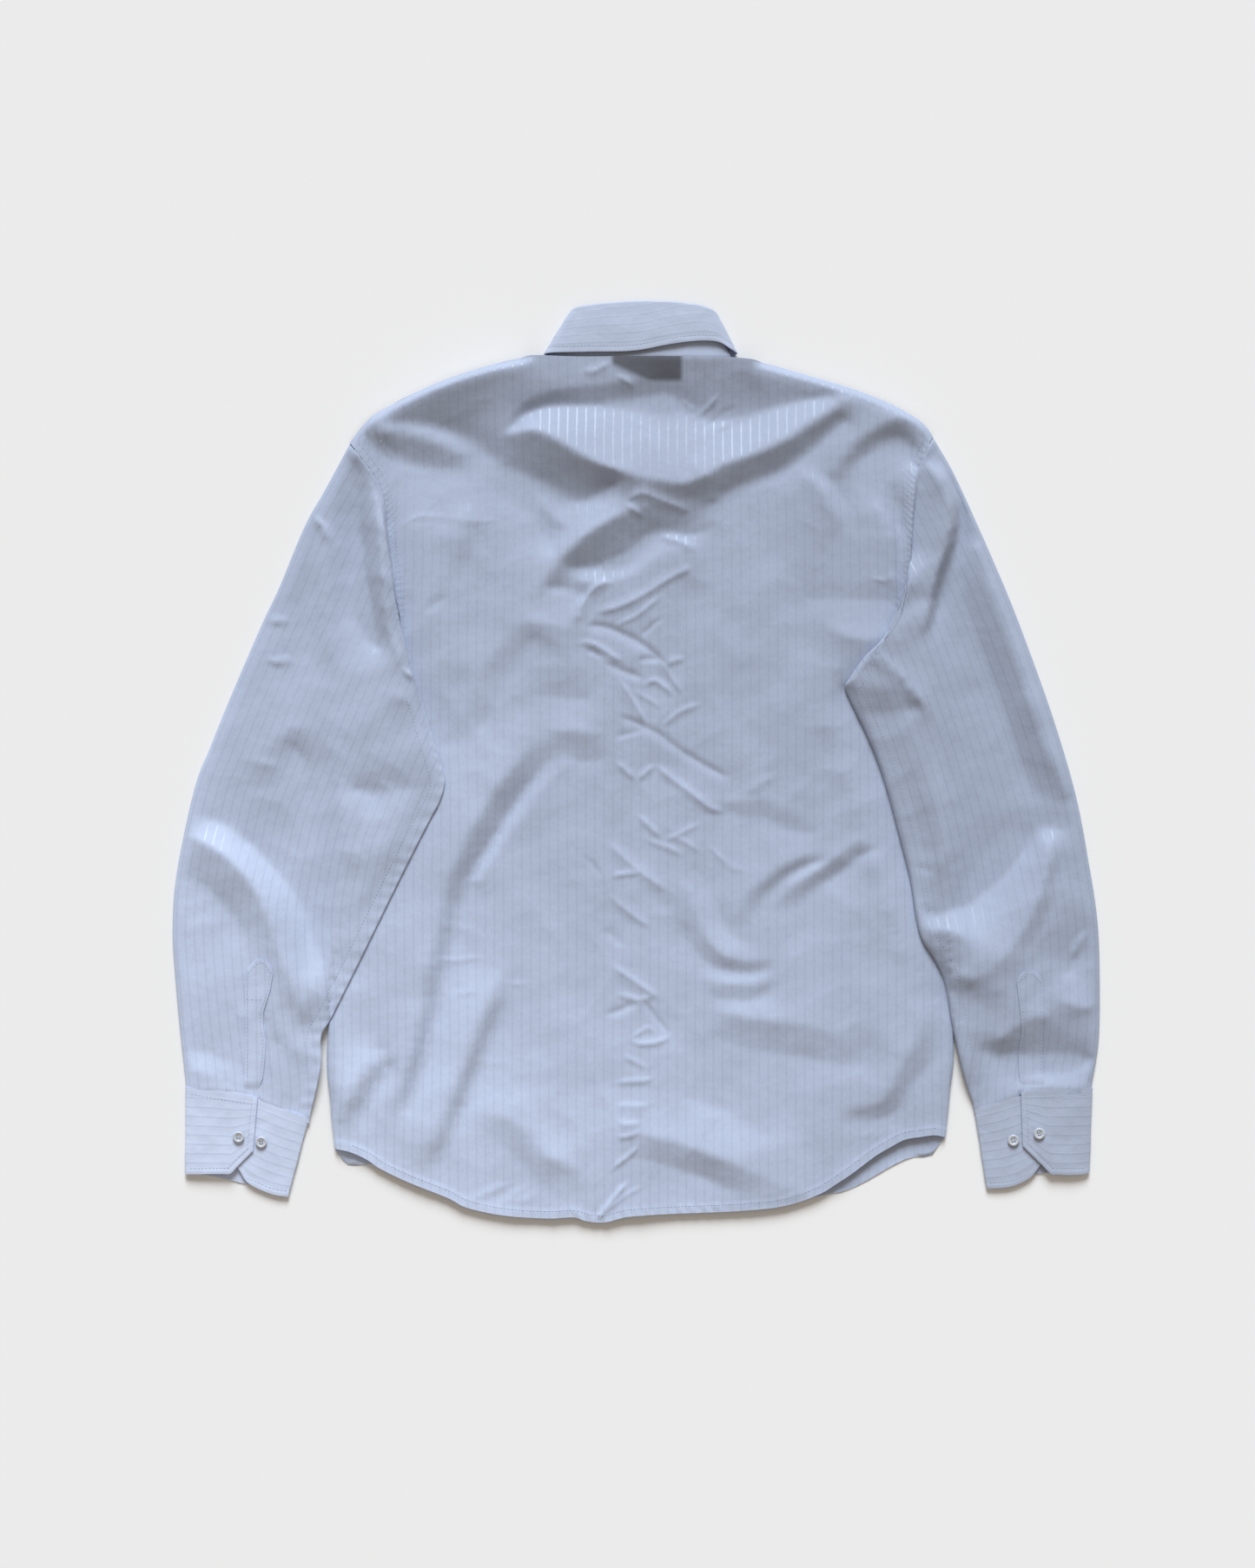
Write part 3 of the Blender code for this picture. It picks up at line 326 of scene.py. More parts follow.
LEFT_SLEEVE_CREASES = {
    "outer edge": [(-251, 278, 0), (-291, 205, 0), (-329, 118, 0), (-374, 12, 0), (-397, -63, 0),
        (-405, -150, 0), (-399, -230, 0), (-394, -284, 0)],
    "cuff": [(-394, -284, 0), (-363, -286, 0.5), (-333, -290, 0), (-308, -303, 0.5),
        (-287, -311, 0)],
    "inner edge": [(-287, -311, 0), (-276, -262, 0), (-274, -238, 0), (-235, -160, 0),
        (-202, -93, 0), (-180, -50, 0), (-168, -18, 0.5), (-180, 28, 0.5), (-198, 88, 0.5),
        (-209, 112, 1), (-211, 140, 1.5), (-217, 197, 1.5), (-219, 229, 1), (-231, 254, 0),
        (-250, 279, 0)],
    "valley by the armhole": [(-247, 264, 0.5), (-246.5, 245, -1.5), (-245, 212, -3.5),
        (-243, 182, -5), (-239, 152, -5.5), (-234, 124, -5), (-228, 101, -3.5)],
    "first long ridge": [(-261, 252, 0.5), (-267, 220, 1.5), (-271, 180, 2), (-272, 140, 2),
        (-268, 105, 2.5), (-262, 70, 3), (-262, 30, 3.5), (-262, -10, 3.5), (-256, -50, 2.5),
        (-248, -90, 1)],
    "second long ridge": [(-294, 196, 0.5), (-302, 168, 1), (-306, 130, 1), (-311, 96, 0.5)],
    "between the ridges": [(-279, 205, -0.5), (-286, 170, -1), (-289, 130, -1), (-290, 92, -0.5)],
    "arch": [(-325, 2, 1), (-319, 12, 2.5), (-310, 23, 3.3), (-299, 31, 3.3), (-289, 32, 3),
        (-281, 24, 2.4), (-277, 8, 1.5), (-274, -12, 0.5)],
    "under the arch": [(-300, 12, 0), (-293, 4, -0.8), (-289, -15, -1.5), (-286, -50, -1.5),
        (-284, -88, -1)],
    "left of the arch": [(-344, 4, 1), (-332, 0, 2), (-318, -2, 1.8)],
    "dark under it": [(-340, -22, -0.6), (-324, -22, -0.9), (-310, -30, -0.6)],
    "broad hollow": [(-183, -12, 0), (-200, -22, -1.8), (-222, -26, -2), (-244, -26, -1)],
    "elbow's upper bound": [(-388, -44, 0), (-362, -54, -1.5), (-336, -74, -3), (-312, -98, -3.5),
        (-294, -124, -4), (-281, -154, -4), (-271, -184, -3), (-266, -206, -1)],
    "elbow ridge": [(-399, -64, 1), (-380, -70, 5), (-362, -80, 7.5), (-344, -96, 8.5),
        (-330, -116, 8.5), (-321, -138, 8.5), (-314, -162, 8), (-304, -188, 7), (-295, -212, 4.5),
        (-286, -232, 1.5)],
    "under the elbow": [(-398, -100, 0), (-376, -112, 1), (-358, -130, 1.5), (-346, -150, 2.5),
        (-338, -170, 3.5), (-330, -192, 4), (-320, -214, 4), (-308, -234, 3), (-296, -254, 1.5)],
    "bump": [(-397, -152, 0.5), (-379, -141, 2), (-360, -147, 1.5)],
    "over the gauntlet": [(-356, -218, 1), (-342, -222, 2.5), (-328, -228, 1.5)],
    "by the gauntlet": [(-316, -246, 1), (-310, -268, 1.5), (-304, -290, 1)],
    "pucker at the cuff": [(-394, -270, 0.5), (-382, -272, 1.2), (-368, -277, 0.7)],
    "hollow above the cuff": [(-396, -250, 0), (-380, -254, -0.5), (-360, -262, -0.4),
        (-346, -270, 0)],
    "ridge over the broad hollow": [(-189, 64, 0.5), (-205, 56, 2), (-225, 44, 2.8),
        (-245, 30, 3)],
    "seam's crest": [(-238, 258, 1.5), (-231, 240, 3), (-227.5, 220, 3.5), (-225, 200, 4),
        (-222.5, 175, 4), (-220, 150, 4), (-218.5, 130, 3.5), (-214, 106, 2.5), (-206, 86, 1.5)],
}

RIGHT_SLEEVE_CREASES = {
    "outer edge": [(261, 284, 0), (280, 251, 0), (302, 203, 0), (344, 100, 0), (386, -29, 0),
        (404, -139, 0), (406, -192, 0), (405, -245, 0), (399, -285, 0)],
    "cuff": [(399, -285, 0), (370, -285, 0.5), (338, -286, 0), (316, -297, 0.5), (297, -302, 0)],
    "inner edge": [(297, -302, 0), (287, -275, 0), (278, -235, 0), (270, -195, 0),
        (250, -155, 0.5), (240, -102, 0), (221, -28, 0), (202, 24, 0), (184, 63, 0.5),
        (200, 92, 0.5), (230, 130, 0.5), (241, 155, 1), (241, 200, 1), (245, 252, 1),
        (259, 284, 0)],
    "pleat": [(250, 262, 3), (258, 256, 5.5), (266, 248, 7), (272, 234, 7.5), (275, 218, 7.5),
        (274, 204, 7.5), (271, 189, 7), (266, 174, 6.8), (261, 156, 6), (257, 138, 5),
        (252, 118, 3.4)],
    "beside the pleat": [(264, 264, 0), (274, 256, -2), (282, 238, -4), (285, 216, -4.5),
        (283, 198, -4.5), (279, 182, -4), (273, 168, -3.5), (268, 152, -3), (264, 134, -2.2),
        (259, 114, -0.8)],
    "long band's ridge": [(300, 188, 2), (308, 160, 3), (320, 126, 4.2), (333, 92, 5),
        (343, 60, 5.5), (354, 28, 5.5), (366, -2, 5), (378, -28, 3)],
    "long band's valley": [(282, 172, -2.5), (288, 144, -3), (298, 108, -3.8), (310, 74, -4),
        (320, 44, -4), (330, 14, -4), (343, -16, -3.5), (357, -40, -1)],
    "inside crease": [(210, 100, 0.5), (222, 89, 2.2), (236, 73, 2.8), (250, 54, 2.6),
        (262, 36, 2), (273, 17, 1)],
    "armpit ridge": [(190, 66, 1), (205, 65, 2), (222, 66, 2), (238, 70, 1.5)],
    "armpit valley": [(198, 44, 0), (214, 42, -0.8), (230, 43, -0.8), (246, 48, -0.5)],
    "inner long ridge": [(262, 0, 1), (266, -30, 1.5), (270, -60, 1.5), (268, -90, 1)],
    "inner long valley": [(240, -10, 0), (246, -45, -0.5), (252, -80, -0.5)],
    "tight ridge": [(250, -146, 1), (262, -147, 2.4), (277, -149, 4.2), (287, -154, 5.5),
        (294, -165, 6.5), (299, -177, 7), (303, -188, 7)],
    "tight hollow": [(291, -200, 2.5), (294, -209, 1.5), (295, -220, 1), (295, -234, 1)],
    "elbow's upper bound": [(254, -136, -1.5), (274, -131, -3), (294, -117, -5), (316, -97, -6),
        (336, -76, -5.5), (350, -58, -2), (382, -60, 0)],
    "elbow ridge": [(303, -188, 7), (316, -176, 7.8), (329, -161, 8.8), (342, -141, 9.4),
        (350, -121, 9.2), (357, -99, 8.4), (360, -82, 7.2), (361, -70, 5)],
    "right of the elbow": [(315, -201, 6), (330, -185, 6.2), (346, -163, 6), (358, -141, 5),
        (366, -119, 4), (371, -97, 3), (373, -82, 2)],
    "gauntlet ridge": [(367, -205, 4), (381, -212, 4.5), (397, -216, 3)],
    "above the dark band": [(318, -243, 2.5), (331, -232, 4.5), (344, -223, 5.5),
        (358, -222, 5.5)],
    "dark band": [(304, -253, -1.5), (330, -262, -4), (362, -264, -5), (404, -261, -3.5)],
    "small hollow": [(392, -152, -0.5), (384, -172, -1), (380, -186, -0.5)],
    "under the tight ridge": [(257, -157, 0.8), (266, -159, 2), (276, -162, 3.8),
        (284, -168, 5.2)],
    "pocket's top": [(278, -178, 3.2), (283, -185, 4.8), (288, -188, 5.8), (294, -189, 6.6)],
}

# Small creases over the larger forms: height, reach to the left and right of the path as
# it runs, the height of a fine line pressed along it, and the path
Crease = namedtuple("Crease", "height left right line path")
BACK_SMALL = [Crease(*row) for row in (
    (1.1, 5, 5, 0.2, [(48, 300), (58, 306), (68, 316), (74, 324)]),
    (-1.0, 4, 5, -0.1, [(58, 292), (70, 300), (80, 308), (92, 313)]),
    (0.9, 4, 5, 0.2, [(38, 318), (46, 311), (54, 306)]),
    (0.9, 5, 5, 0.1, [(68, 288), (82, 297), (98, 303)]),
    (1.58, 8, 9, 0.3, [(-10, 226), (-3, 231.5), (7, 234), (20, 229), (34, 224), (50, 218)]),
    (1.27, 5, 6, 0.3, [(-12, 226), (-2, 220), (8, 213)]),
    (1.75, 6, 8, 0.3, [(18, 197), (34, 194), (44, 190), (54, 184)]),
    (1.5, 8, 6, 0.3, [(-37, 130), (-20, 134), (-5, 140), (8, 147), (22, 156), (36, 164), (52, 171)]),
    (0.95, 4, 5, 0.3, [(-20, 118), (-10, 123), (2, 129), (24, 147)]),
    (2.3, 6, 10, 0.3, [(-56, 116), (-50, 132), (-41, 147), (-30, 156), (-18, 157)]),
    (-1.03, 4, 4, 0, [(0, 109), (10, 115), (17, 122), (27, 126)]),
    (-1.8, 6, 9, -0.15, [(-48, 119), (-28, 118), (-12, 112), (2, 105), (14, 96), (22, 89), (28, 84)]),
    (1.11, 6, 5, 0.3, [(25, 84), (33, 88), (44, 90)]),
    (1.42, 5, 6, 0.3, [(-54, 103), (-42, 104), (-30, 99), (-20, 92), (-8, 87)]),
    (-1.11, 4, 4, 0, [(-46, 98), (-36, 95), (-27, 89)]),
    (-1.42, 5, 5, 0, [(0, 88), (10, 90), (21, 89)]),
    (-1.6, 6, 7, 0, [(-30, 88), (-15, 81), (-2, 76), (10, 71)]),
    (1.35, 5, 6, 0.3, [(4, 65), (15, 71), (24, 66), (35, 56)]),
    (0.79, 5, 6, 0.3, [(19, 91), (28, 78), (36, 66), (43, 57)]),
    (1.27, 4, 11, 0.3, [(-16, 74), (-8, 62), (0, 49), (10, 30)]),
    (0.71, 5, 5, 0.3, [(-6, 64), (10, 55), (24, 46)]),
    (0.91, 5, 6, 0.3, [(20, 30), (30, 37), (39, 44), (60, 52)]),
    (-1.35, 6, 8, -0.15, [(-18, 41), (-5, 36), (8, 30), (20, 24), (32, 15), (45, 6), (58, -2), (84, -16)]),
    (-1.06, 7, 3, 0, [(-22, 19), (-8, 24), (9, 27)]),
    (1.2, 6, 6, 0.3, [(-19, 1), (-9, -8), (1, -17)]),
    (1.2, 6, 6, 0.3, [(0, -17), (8, -10), (17, -2)]),
    (1.34, 7, 7, 0.3, [(15, -1), (26, -11), (38, -20), (50, -29), (64, -40), (80, -45)]),
    (1.06, 6, 6, 0.3, [(-2, -45), (8, -53), (16, -61), (24, -69)]),
    (0.63, 5, 5, 0.3, [(21, -68), (34, -65), (48, -58), (60, -53)]),
    (0.81, 5, 6, 0.3, [(5, -66), (18, -72), (30, -76), (44, -84)]),
    (0.58, 5, 5, 0.3, [(24, -67), (40, -69), (60, -81)]),
    (0.58, 4, 6, 0.3, [(60, -70), (72, -82), (84, -92), (98, -98)]),
    (0.98, 9, 10, 0.3, [(-25, -69), (-14, -81), (-2, -92), (8, -100), (18, -107), (28, -115)]),
    (0.98, 4, 4, 0.3, [(-25, -99.5), (-10, -98.5), (6, -97)]),
    (-0.69, 5, 6, 0, [(-46, -82), (-37, -91), (-28, -103)]),
    (1.1, 9, 7, 0.3, [(-23, -117), (-15, -125), (-5, -133), (5, -140), (15, -146)]),
    (-0.92, 9, 8, 0, [(-32, -146), (-20, -153), (-8, -163)]),
    (1.38, 7, 10, 0.3, [(-23, -177), (-12, -185), (0, -193), (10, -200), (22, -208)]),
    (0.75, 3, 6, 0.3, [(-21, -202), (-6, -206), (5, -208), (18, -203)]),
    (-1.04, 4, 6, 0, [(3, -205), (12, -217), (20, -227), (31, -240)]),
    (-1.26, 6, 6, 0, [(-30, -222), (-18, -219), (-6, -214), (5, -213)]),
    (1.15, 6, 5, 0.3, [(-9, -243), (4, -247), (17, -246), (25, -243), (33, -238)]),
    (0.69, 3, 6, 0.3, [(-8, -243), (3, -237), (11, -233), (20, -242)]),
    (0.75, 5, 5, 0.3, [(-14, -256), (0, -263), (12, -270)]),
    (1.1, 5, 5, 0.3, [(-22, -282), (-6, -280), (8, -279), (19, -275)]),
    (0.92, 4, 12, 0.3, [(-22, -300), (-8, -301), (14, -300)]),
    (0.86, 5, 8, 0.3, [(-18, -315), (-8, -317), (6, -316)]),
    (0.98, 5, 4, 0.3, [(-20, -328), (-8, -328), (5, -323)]),
    (1.1, 5, 4, 0.3, [(-24, -359), (-12, -349), (-2, -341), (4, -332)]),
    (1.73, 5, 7, 0.3, [(-38, -404), (-28, -393), (-16, -378), (-5, -365)]),
    (0.69, 4, 4, 0.3, [(-32, -400), (-18, -387), (-4, -377), (10, -370)]),
    (1.11, 6, 7, 0.3, [(196, 246), (197, 228), (196, 204)]),
    (1.19, 5, 6, 0.3, [(206, 160), (218, 159), (230, 166)]),
    (1.0, 8, 6, 0, [(94, -30), (108, -20), (124, -10)]),
    (-0.69, 4, 4, 0, [(219, -138), (232, -158), (243, -176), (251, -194), (256, -212)]),
    (0.69, 5, 5, 0.3, [(196, -326), (206, -327), (216, -332)]),
    (1.75, 14, 9, 0, [(-96, 242), (-84, 228), (-70, 212), (-58, 202)]),
    (-1.11, 5, 5, 0, [(-142, 212), (-136, 194), (-125, 176)]),
    (-0.79, 5, 6, 0, [(-182, 238), (-173, 220), (-164, 200)]),
    (0.32, 5, 6, 0.3, [(-205, 206), (-192, 214), (-168, 214), (-140, 210), (-118, 212)]),
    (-0.95, 8, 8, 0, [(-186, 128), (-176, 138), (-162, 146)]),
    (0.29, 5, 5, 0.3, [(-178, -171), (-160, -174), (-145, -172), (-128, -172)]),
    (-0.58, 3, 4, 0, [(-130, -173), (-119, -185), (-108, -194)]),
    (0.52, 4, 5, 0.3, [(-112, -193), (-104, -195), (-94, -192)]),
    (0.52, 4, 5, 0.3, [(-158, -207), (-148, -201), (-140, -200)]),
    (0.81, 5, 5, 0.3, [(-146, -387), (-127, -376), (-108, -367)]),
    (0.69, 4, 4, 0.3, [(-120, -391), (-106, -379), (-95, -369)]),
    (0.58, 4, 4, 0.3, [(-104, -390), (-96, -383), (-88, -377)]),
    (1.27, 7, 8, 0.3, [(-48, 343), (-38, 341), (-28, 346), (-20, 350)]),
    (1.03, 5, 6, 0.3, [(-20, 338), (-10, 334), (0, 326)]),
)]
LEFT_SLEEVE_SMALL = [Crease(*row) for row in (
    (1.6, 6, 8, 0.2, [(-286, 219), (-278, 210), (-272, 200), (-274, 186)]),
    (1.2, 5, 6, 0.3, [(-325, 124), (-314, 123), (-303, 126)]),
    (1.2, 5, 6, 0.3, [(-325, 88), (-312, 88), (-300, 92)]),
    (1.5, 6, 6, 0.2, [(-206, 80), (-198, 76), (-188, 72)]),
)]
RIGHT_SLEEVE_SMALL = [Crease(*row) for row in (
    (1.1, 5, 13, 0.5, [(204, 99), (221, 85), (236, 68), (248, 54), (256, 44)]),
    (0.7, 4, 4, 0.3, [(200, 91), (212, 85), (224, 74)]),
    (-0.8, 5, 5, 0, [(244, -90), (252, -93), (262, -98)]),
    (-0.8, 5, 5, 0, [(248, -124), (255, -130), (262, -134)]),
    (1.5, 7, 7, 0.2, [(380, -176), (388, -160), (396, -146)]),
)]

# Stations round a cuff, from the overlap's end over the top, under and back inside it
Station = namedtuple("Station", "top_x top_y low_x low_y z")
LEFT_CUFF = [Station(*row) for row in (
    (-331.7, -295, -335.6, -341, 5.6), (-338, -293.5, -342.2, -347.5, 5.6),
    (-345, -292, -348.8, -354.1, 5.65), (-352, -290, -355.3, -360.6, 5.7),
    (-359, -289.3, -362, -360.9, 5.7), (-375, -288, -376, -361, 5.4),
    (-391, -286.8, -391.5, -361.3, 4.7), (-394.4, -286.6, -394.8, -361.4, 2.9),
    (-391, -286.8, -391.5, -361.3, 1.2), (-375, -288, -376, -362.5, 0.7),
    (-331, -297, -335, -372, 0.7), (-300, -309.3, -312, -379.5, 0.7),
    (-291, -312, -307.5, -380.5, 1.1), (-287.5, -313.6, -305.6, -381, 2.3),
    (-291, -312.2, -307.5, -380.8, 3.3), (-310, -305, -321, -378.2, 3.7),
    (-330.2, -297.2, -340, -369, 3.7), (-352, -293, -349, -356, 3.7),
    (-366, -291.5, -362, -340, 3.5))]
RIGHT_CUFF = [Station(*row) for row in (
    (337, -289.6, 338.6, -336.5, 5.6), (344, -289, 346.6, -344.5, 5.65),
    (351, -288.4, 354.8, -352.5, 5.7), (358, -287.8, 363, -360.6, 5.7),
    (365, -287.6, 368, -361.3, 5.6), (380, -287.4, 380, -361.8, 5.4),
    (395.5, -287.2, 393.5, -360.8, 4.7), (399.2, -287.1, 397, -359, 2.9),
    (395.5, -287.2, 393.5, -360.8, 1.2), (380, -287.4, 379, -360, 0.7),
    (340, -294, 345, -362, 0.7), (310, -302, 318, -371, 0.7), (300.5, -304.2, 311, -373, 1.1),
    (297, -305, 307.6, -373.4, 2.3), (300.5, -304.2, 311, -373.8, 3.3),
    (316, -300.2, 328.7, -372, 3.7), (335, -294.4, 343.9, -365.2, 3.7),
    (352, -291, 353.8, -353.8, 3.7), (366, -289.6, 362, -338, 3.5))]

# Gauntlet strips on the sleeves: each row's place along Y and its two sides in X
Row = namedtuple("Row", "y left right")
LEFT_GAUNTLET = [Row(*row) for row in (
    (-172, -331, -324), (-178, -338, -319), (-184, -341, -317), (-199, -342, -319.6),
    (-210, -342, -323), (-219, -342, -326), (-232, -342, -326.2), (-245, -342, -324.2),
    (-260, -342.5, -325), (-275, -343, -326.6), (-288.5, -344, -330.6))]
RIGHT_GAUNTLET = [Row(*row) for row in (
    (-182, 340, 347), (-186, 334.5, 352), (-192, 332, 355), (-207, 334, 355.5), (-222, 335.8, 356),
    (-237, 337, 356), (-247, 335.8, 356), (-257, 334.9, 356.5), (-272, 335.6, 357),
    (-285.5, 337, 358))]

# Stations round the collar from its left end at the centre front to its right end: the
# roll line, then the leaf's edge or the stand's seam, each with its own height
Rib = namedtuple("Rib", "roll_x roll_y roll_z edge_x edge_y edge_z")
LEAF = [Rib(*row) for row in (
    (-9, 271, 0.7, -58, 214, 0.7), (-20, 298, 0.7, -67, 246, 0.7), (-34, 332, 0.7, -76, 290, 0.7),
    (-46, 362, 0.7, -79, 326, 0.7), (-53, 386, 0.7, -78.5, 352, 0.7),
    (-55.8, 392.5, 1.2, -79.5, 356.8, 1.1), (-57.2, 394.5, 3.4, -80.6, 356.8, 4.0),
    (-54.5, 396.6, 5.8, -78, 357.2, 9.0), (-47, 398.4, 6.3, -70, 358, 11.0),
    (-25, 401, 6.5, -40, 358.6, 11.2), (6, 402.6, 6.6, -2, 359.6, 10.8),
    (30, 402, 6.5, 28, 365, 10.6), (51, 400, 6.3, 52, 368.2, 10.2),
    (63, 396.6, 6.0, 71, 367.6, 9.4), (68.6, 394, 5.2, 82, 361.6, 8.0),
    (71.4, 391, 3.4, 88, 357.6, 4.0), (69.6, 389, 1.2, 87, 357, 1.1), (66, 382, 0.7, 86, 351, 0.7),
    (55, 360, 0.7, 84, 326, 0.7), (40, 330, 0.7, 76, 290, 0.7), (20, 298, 0.7, 64, 246, 0.7),
    (-1, 271, 0.7, 50, 214, 0.7))]
STAND = [Rib(*row) for row in (
    (8, 272, 2.7, 12, 243.5, 2.7), (-10, 274, 2.7, -15, 247.6, 2.7),
    (-21, 301, 2.7, -37, 264, 2.7), (-33, 333, 2.7, -57, 294, 2.7),
    (-44, 362, 2.7, -71, 331.4, 2.7), (-50, 383, 2.7, -76, 350, 2.8),
    (-52.4, 388.5, 3.2, -76.6, 356.4, 4.0), (-50, 392, 4.4, -71, 355.6, 5.6),
    (-40, 395.6, 4.7, -58, 355.2, 7.2), (-18, 398, 4.8, -30, 355.1, 8.0),
    (6, 399.6, 4.8, 0, 355.1, 8.2), (32, 399, 4.8, 32, 355, 8.0), (50, 397, 4.7, 60, 354.8, 7.4),
    (61, 393, 4.4, 78, 354.6, 5.8), (65, 389.5, 3.2, 82.6, 354.6, 4.2),
    (61, 382, 2.7, 81, 350.5, 2.8), (50, 360, 2.7, 68.6, 331, 2.7), (36, 330, 2.7, 51, 294.4, 2.7),
    (18, 300, 2.9, 29, 264.4, 2.9), (6, 276, 4.0, 6, 248, 4.0), (-20, 272, 4.1, -23, 243.5, 4.1))]

LABEL_X, LABEL_Y = (-22.0, 41.0), (333.5, 352.5)


def linear(hex_colour):
    """An sRGB hex colour as linear red, green and blue."""
    parts = [(hex_colour >> shift & 255) / 255 for shift in (16, 8, 0)]
    return tuple(c / 12.92 if c <= 0.04045 else ((c + 0.055) / 1.055) ** 2.4 for c in parts)


def length_setting(name, description, size, low, high):
    """A setting for a length, given in millimetres."""
    return bpy.props.FloatProperty(
        name=name, description=description, default=size * MM, min=low * MM, max=high * MM,
        unit="LENGTH", precision=5)


def colour_setting(name, description, hex_colour):
    return bpy.props.FloatVectorProperty(
        name=name, description=description, subtype="COLOR", size=3, min=0, max=1,
        default=linear(hex_colour))


class ShirtCloth(bpy.types.PropertyGroup):
    """Sizes and colours of the cloth."""
    wall: length_setting("Cloth thickness", "Thickness of the shirting with its facing",
                         0.6, 0.2, 2)
    stripe_pitch: length_setting("Stripe pitch", "Distance between two satin stripes", 8, 1, 50)
    stripe_width: length_setting("Stripe width", "Width of one satin stripe", 1.6, 0.2, 20)
    ground: colour_setting("Ground", "Colour of the plain cloth between the stripes", 0xA6B1C8)
    stripe: colour_setting("Stripe", "Colour of the satin stripes", 0xA1ACC4)
    label: colour_setting("Label", "Colour of the blank woven neck label", 0x3A3A3E)


class ShirtTrim(bpy.types.PropertyGroup):
    """Sizes and colours of the stitches and buttons."""
    stitch_pitch: length_setting("Stitch pitch", "Distance from one stitch to the next",
                                 3.2, 1, 10)
    stitch_length: length_setting("Stitch length", "Length of one stitch", 2.3, 0.5, 10)
    thread: length_setting("Thread thickness", "Thickness of the sewing thread", 0.45, 0.1, 1)
    thread_colour: colour_setting("Thread", "Colour of the sewing thread", 0xA9B4C9)
    button: colour_setting("Button", "Colour of the resin buttons", 0xC6CBD4)


class ShirtStage(bpy.types.PropertyGroup):
    """The floor, the camera's distance and the light."""
    distance: bpy.props.FloatProperty(
        name="Camera height", description="Height of the camera over the cloth",
        default=3.2, min=1, max=20, unit="LENGTH")
    floor: colour_setting("Floor", "Colour of the plain floor", 0xECECEC)
    key: bpy.props.FloatProperty(
        name="Key light", description="Strength of the soft light from beyond the collar",
        default=4.23, min=0, max=50)
    fill: bpy.props.FloatProperty(
        name="Fill light", description="Strength of the light from all round",
        default=0.41, min=0, max=10)


def smooth_line(points, steps=6):
    """Points along a smooth curve through the given ones, of any number of values."""
    p = np.array(points, float)
    p = np.vstack([2 * p[0] - p[1], p, 2 * p[-1] - p[-2]])
    out = []
    for a, b, c, d in zip(p, p[1:], p[2:], p[3:]):
        for t in np.arange(steps) / steps:
            bend = (2 * a - 5 * b + 4 * c - d) * t * t + (3 * b - a - 3 * c + d) * t ** 3
            out.append(0.5 * (2 * b + (c - a) * t + bend))
    out.append(p[-2])
    return np.array(out)


def smooth(t):
    t = np.clip(t, 0, 1)
    return t * t * (3 - 2 * t)


def round_edge(distance, radius):
    """0 at an edge, rising as a quarter circle to 1."""
    t = 1 - np.clip(distance / radius, 0, 1)
    return np.sqrt(1 - t * t)


def lengths_along(line):
    """Distance from a line's start to each of its points, seen from above."""
    return np.concatenate([[0], np.cumsum(np.hypot(*np.diff(line[:, :2], axis=0).T))])


def spaced(line, step):
    """The same line with its points this far apart."""
    lengths = lengths_along(line)
    places = np.linspace(0, lengths[-1], max(2, int(lengths[-1] / step) + 1))
    return np.stack([np.interp(places, lengths, column) for column in line.T], axis=-1)


def at(line, share):
    """The point at each share of a line's length."""
    lengths = lengths_along(line)
    return np.stack([np.interp(share * lengths[-1], lengths, line[:, i]) for i in (0, 1)], -1)


def nearest(x, y, line):
    """Distance to a line, side (+1 on its left) and millimetres along it."""
    best, side, place = np.full(x.shape, 1e9), np.ones(x.shape), np.zeros(x.shape)
    starts = lengths_along(line)
    for a, b, start, end in zip(line, line[1:], starts, starts[1:]):
        if end - start < 1e-9:
            continue
        ahead = (b - a) / (end - start)
        along = np.clip((x - a[0]) * ahead[0] + (y - a[1]) * ahead[1], 0, end - start)
        off_x, off_y = x - a[0] - along * ahead[0], y - a[1] - along * ahead[1]
        distance = np.hypot(off_x, off_y)
        near = distance < best
        best = np.where(near, distance, best)
        turn = np.where(ahead[0] * off_y - ahead[1] * off_x >= 0, 1.0, -1.0)
        side = np.where(near, turn, side)
        place = np.where(near, start + along, place)
    return best, side, place


# The grid on which the cloth spans between its creases
CELL = 2.5
GRID_X, GRID_Y = -425.0, -420.0
GRID_COLUMNS, GRID_ROWS = 341, 337


def neighbours(height):
    """Each cell's average of the four round it."""
    p = np.pad(height, 1, mode="edge")
    return (p[:-2, 1:-1] + p[2:, 1:-1] + p[1:-1, :-2] + p[1:-1, 2:]) / 4


def halve(cells):
    rows, columns = cells.shape
    p = np.pad(cells, ((0, rows % 2), (0, columns % 2)))
    return p[::2, ::2] + p[1::2, ::2] + p[::2, 1::2] + p[1::2, 1::2]


def read_grid(height, row, column):
    """The height between a grid's cells."""
    row = np.clip(row, 0, height.shape[0] - 1.001)
    column = np.clip(column, 0, height.shape[1] - 1.001)
    i, j = row.astype(int), column.astype(int)
    u, v = row - i, column - j
    low = (1 - v) * height[i, j] + v * height[i, j + 1]
    high = (1 - v) * height[i + 1, j] + v * height[i + 1, j + 1]
    return (1 - u) * low + u * high


